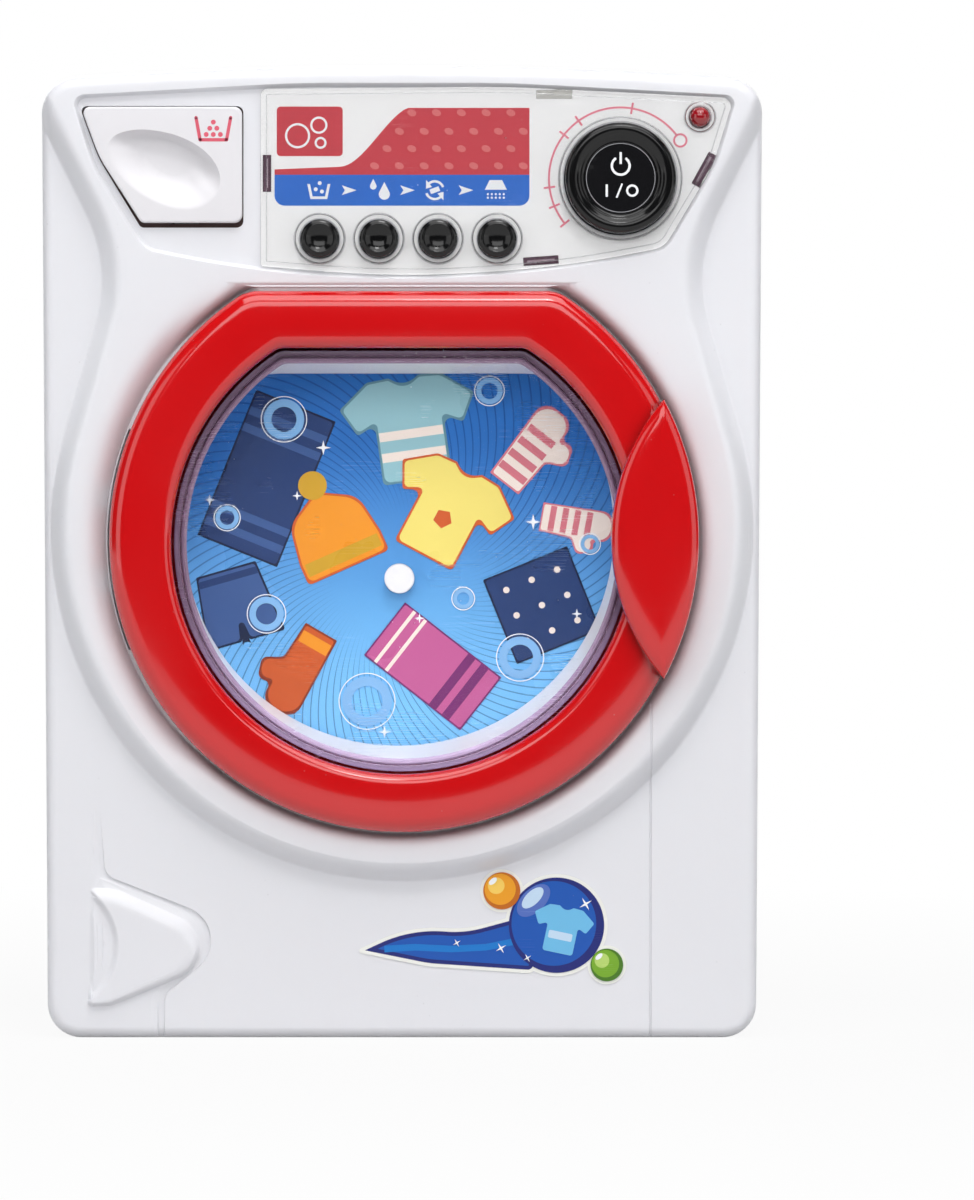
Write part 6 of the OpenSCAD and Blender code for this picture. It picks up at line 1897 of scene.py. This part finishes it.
outer_u, inner_u = below(tray_out, TRAY_TOP), below(tray_in, TRAY_TOP)
collar = lofted([(tray_out, -3.6), (tray_out, TRAY_FROM + 0.1), (tray_in, TRAY_FROM + 0.1),
                 (tray_in, -3.6)], caps=False)
tray = [collar, prism(tray_out, TRAY_FROM - 0.3, TRAY_FROM),
        prism(np.vstack([outer_u, inner_u[::-1]]), TRAY_FROM - 0.1, TRAY_END - 1.3),
        prism(outer_u, TRAY_END - 1.4, TRAY_END),
        prism(box_outline(-52.35, DRAWER[0][1] + 0.7, -46.35, DRAWER[0][1] + 2.6, 2), TRAY_END - 2,
              TRAY_END)]
drawer = piece("drawer", *shells([drawer_face, *tray]), "drawer", "drawer_white")
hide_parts("detergent_drawer")
print("parts of the tray:", len(tray))

# %% [markdown]
# ## The drawer's sign
# A tub with powder in it is drawn in pink: three strips with round ends, and six dots.

# %% Sign on the drawer
ink("ink powder", srgb(222, 92, 112), 0.4)
powder = Print(DRAWER_Y, "drawer", "drawer_white")
TUB_SIGN = (-42.6, 205.3)
tub_line = np.array([[-3.9, 2.9], [-3.0, -2.1], [3.0, -2.1], [3.9, 2.9]]) + TUB_SIGN
for a, b in zip(tub_line[:-1], tub_line[1:]):
    powder.add("ink powder", ribbon(np.array([a, (a + b) / 2, b]), 0.75))
for x, z in tub_line:
    powder.add("ink powder", circle((x, z), 0.375, 14))
for x, z in ((-1.6, -0.9), (0, -0.9), (1.6, -0.9), (-0.8, 0.5), (0.8, 0.5), (0, 1.9)):
    powder.add("ink powder", circle((TUB_SIGN[0] + x, TUB_SIGN[1] + z), 0.55, 16))
powder.finish("powder_sign")
print("strips and dots:", sum(len(parts) for parts in powder.by_look.values()))

# %% [markdown]
# ## Sticker
# A die-cut sticker sits on the flat lower front. Its white paper keeps its ready-made solid, and
# on it a tail ends in a big bubble, with two small ones. A printed bubble is discs of one hue,
# from dark at the rim to bright, each smaller and moved towards the light.

# %% Sticker print
for look, colour in {
        "ink night": (22, 34, 116), "ink sea": (14, 84, 178), "ink azure": (10, 120, 204),
        "ink lilac": (84, 112, 190), "ink ice": (198, 222, 244), "ink sky": (112, 190, 232),
        "ink amber": (240, 160, 30), "ink honey": (252, 208, 96), "ink copper": (196, 104, 14),
        "ink leaf": (120, 172, 40), "ink lime": (186, 216, 112), "ink moss": (70, 120, 24)}.items():
    ink(look, srgb(*colour), 0.22)
plastic("printed_sticker", srgb(244, 244, 238), rough=0.25, ripple=0.01, scratch=0.2)
art = Print(-0.2, "casing", "printed_sticker")
TAIL = [[-11, 19.6, 0.6], [6, 16.2, 30], [30, 14.6, 2], [34, 30, 2], [14, 24.6, 24], [2, 25.6, 30]]
for k, (look, inset) in enumerate((("ink night", 0.8), ("ink sea", 1.7)), 1):
    art.add(look, rounded(TAIL, inset, 16), k)
STREAK = np.array([[-4, 20.2], [3, 20.6], [11, 20.2], [19, 20.6], [28, 22.4]])
art.add("ink azure", ribbon(STREAK, 1.5), 3)


def bubble(at, r, dark, mid, light, layer):
    """Three discs of one hue, each smaller and moved up to the left, and a white highlight."""
    art.add(dark, circle(at, r, 72), layer)
    for k, (look, share) in enumerate(((mid, 0.84), (light, 0.45))):
        centre = np.array(at) + r * (1 - share) * np.array([-0.55, 0.5])
        art.add(look, circle(centre, r * share, 60), layer + 1 + k)
    art.add("ink white", put(circle((0, 0), 1, 30) * [0.26 * r, 0.14 * r],
                             np.array(at) + r * np.array([-0.48, 0.52]), 42), layer + 3)


BIG = (35.0, 25.6)
art.add("ink night", circle(BIG, 10.8, 96), 4)
art.add("ink sea", circle((BIG[0] - 0.6, BIG[1] + 0.4), 9.6, 90), 5)
art.add("ink lilac", put(circle((0, 0), 1, 50) * [4.6, 2.6], (BIG[0] - 5.2, BIG[1] + 5.6), 44), 6)
art.add("ink ice", put(circle((0, 0), 1, 50) * [3.1, 1.5], (BIG[0] - 5.4, BIG[1] + 6.2), 44), 7)
art.add("ink sky", put(rounded(SHIRT, -0.1, 8), (BIG[0] + 1.2, BIG[1] - 1.2), -12, 0.68), 7)
STRIPE = [[-4, -1, 0.5], [4, -1, 0.5], [4, 1.6, 0.5], [-4, 1.6, 0.5]]
art.add("ink ice", put(rounded(STRIPE, 0, 6), (BIG[0] + 0.8, BIG[1] - 2.6), -12, 0.68), 8)
bubble((22.6, 33.4), 4.2, "ink copper", "ink amber", "ink honey", 8)
bubble((46.4, 16.6), 3.7, "ink moss", "ink leaf", "ink lime", 8)
for x, z, r in ((12.4, 21.6, 1.0), (22.4, 20.4, 1.3), (41.6, 30.4, 1.6), (28.4, 18.2, 1.0)):
    art.add("ink white", sparkle((x, z), r, 0.22, 30), 9)
art.finish("sticker")
print("colours on the sticker:", len(art.by_look))

# %% [markdown]
# ## The pieces that keep their solids
# Screws, gears, leads and the other inner pieces are seen only through gaps or when the toy is
# open, so their ready-made solids stay. The circuit board shows faint copper tracks under its
# green lacquer, and the cells' wrapping has a printed band.


# %% Finishes for the solids
def tracks(tree, place):
    """Paler lines where a checker of bricks has its joints, under green lacquer."""
    turned_place = add(tree, "ShaderNodeMapping", {"Rotation": (math.pi / 2, 0, 0)},
                       {"Vector": place})
    bricks = add(tree, "ShaderNodeTexBrick",
                 {"Scale": 220.0, "Mortar Size": 0.06, "Color1": (*srgb(24, 98, 52), 1),
                  "Color2": (*srgb(28, 108, 58), 1), "Mortar": (*srgb(74, 150, 84), 1)},
                 {"Vector": turned_place.outputs[0]})
    return bricks.outputs["Color"]


def bands(tree, place):
    """A copper-coloured end and a dark body, by the place along the cell."""
    at = add(tree, "ShaderNodeSeparateXYZ", (), {0: place})
    share = maths(tree, "ABSOLUTE", at.outputs["X"])
    return blend(tree, ramp(tree, share, 0.0175, 0.018), srgb(30, 34, 40), srgb(196, 140, 70))


plastic("board_green", srgb(26, 100, 54), rough=0.35, ripple=0.03, print_on=tracks)
plastic("cell_wrap", srgb(40, 44, 50), rough=0.3, print_on=bands)
# The drawer's sleeve is painted a dark brown-grey, as the shade in the gap round the drawer.
plastic("sleeve_painted_shade", srgb(104, 78, 74), rough=0.5)
for name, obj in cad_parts.items():
    slot = obj.data.materials[0].name.split(".")[0]
    obj.data.materials[0] = finish["sleeve_painted_shade" if name == "drawer_sleeve" else slot]
print("solids with a finish:", len(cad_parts))
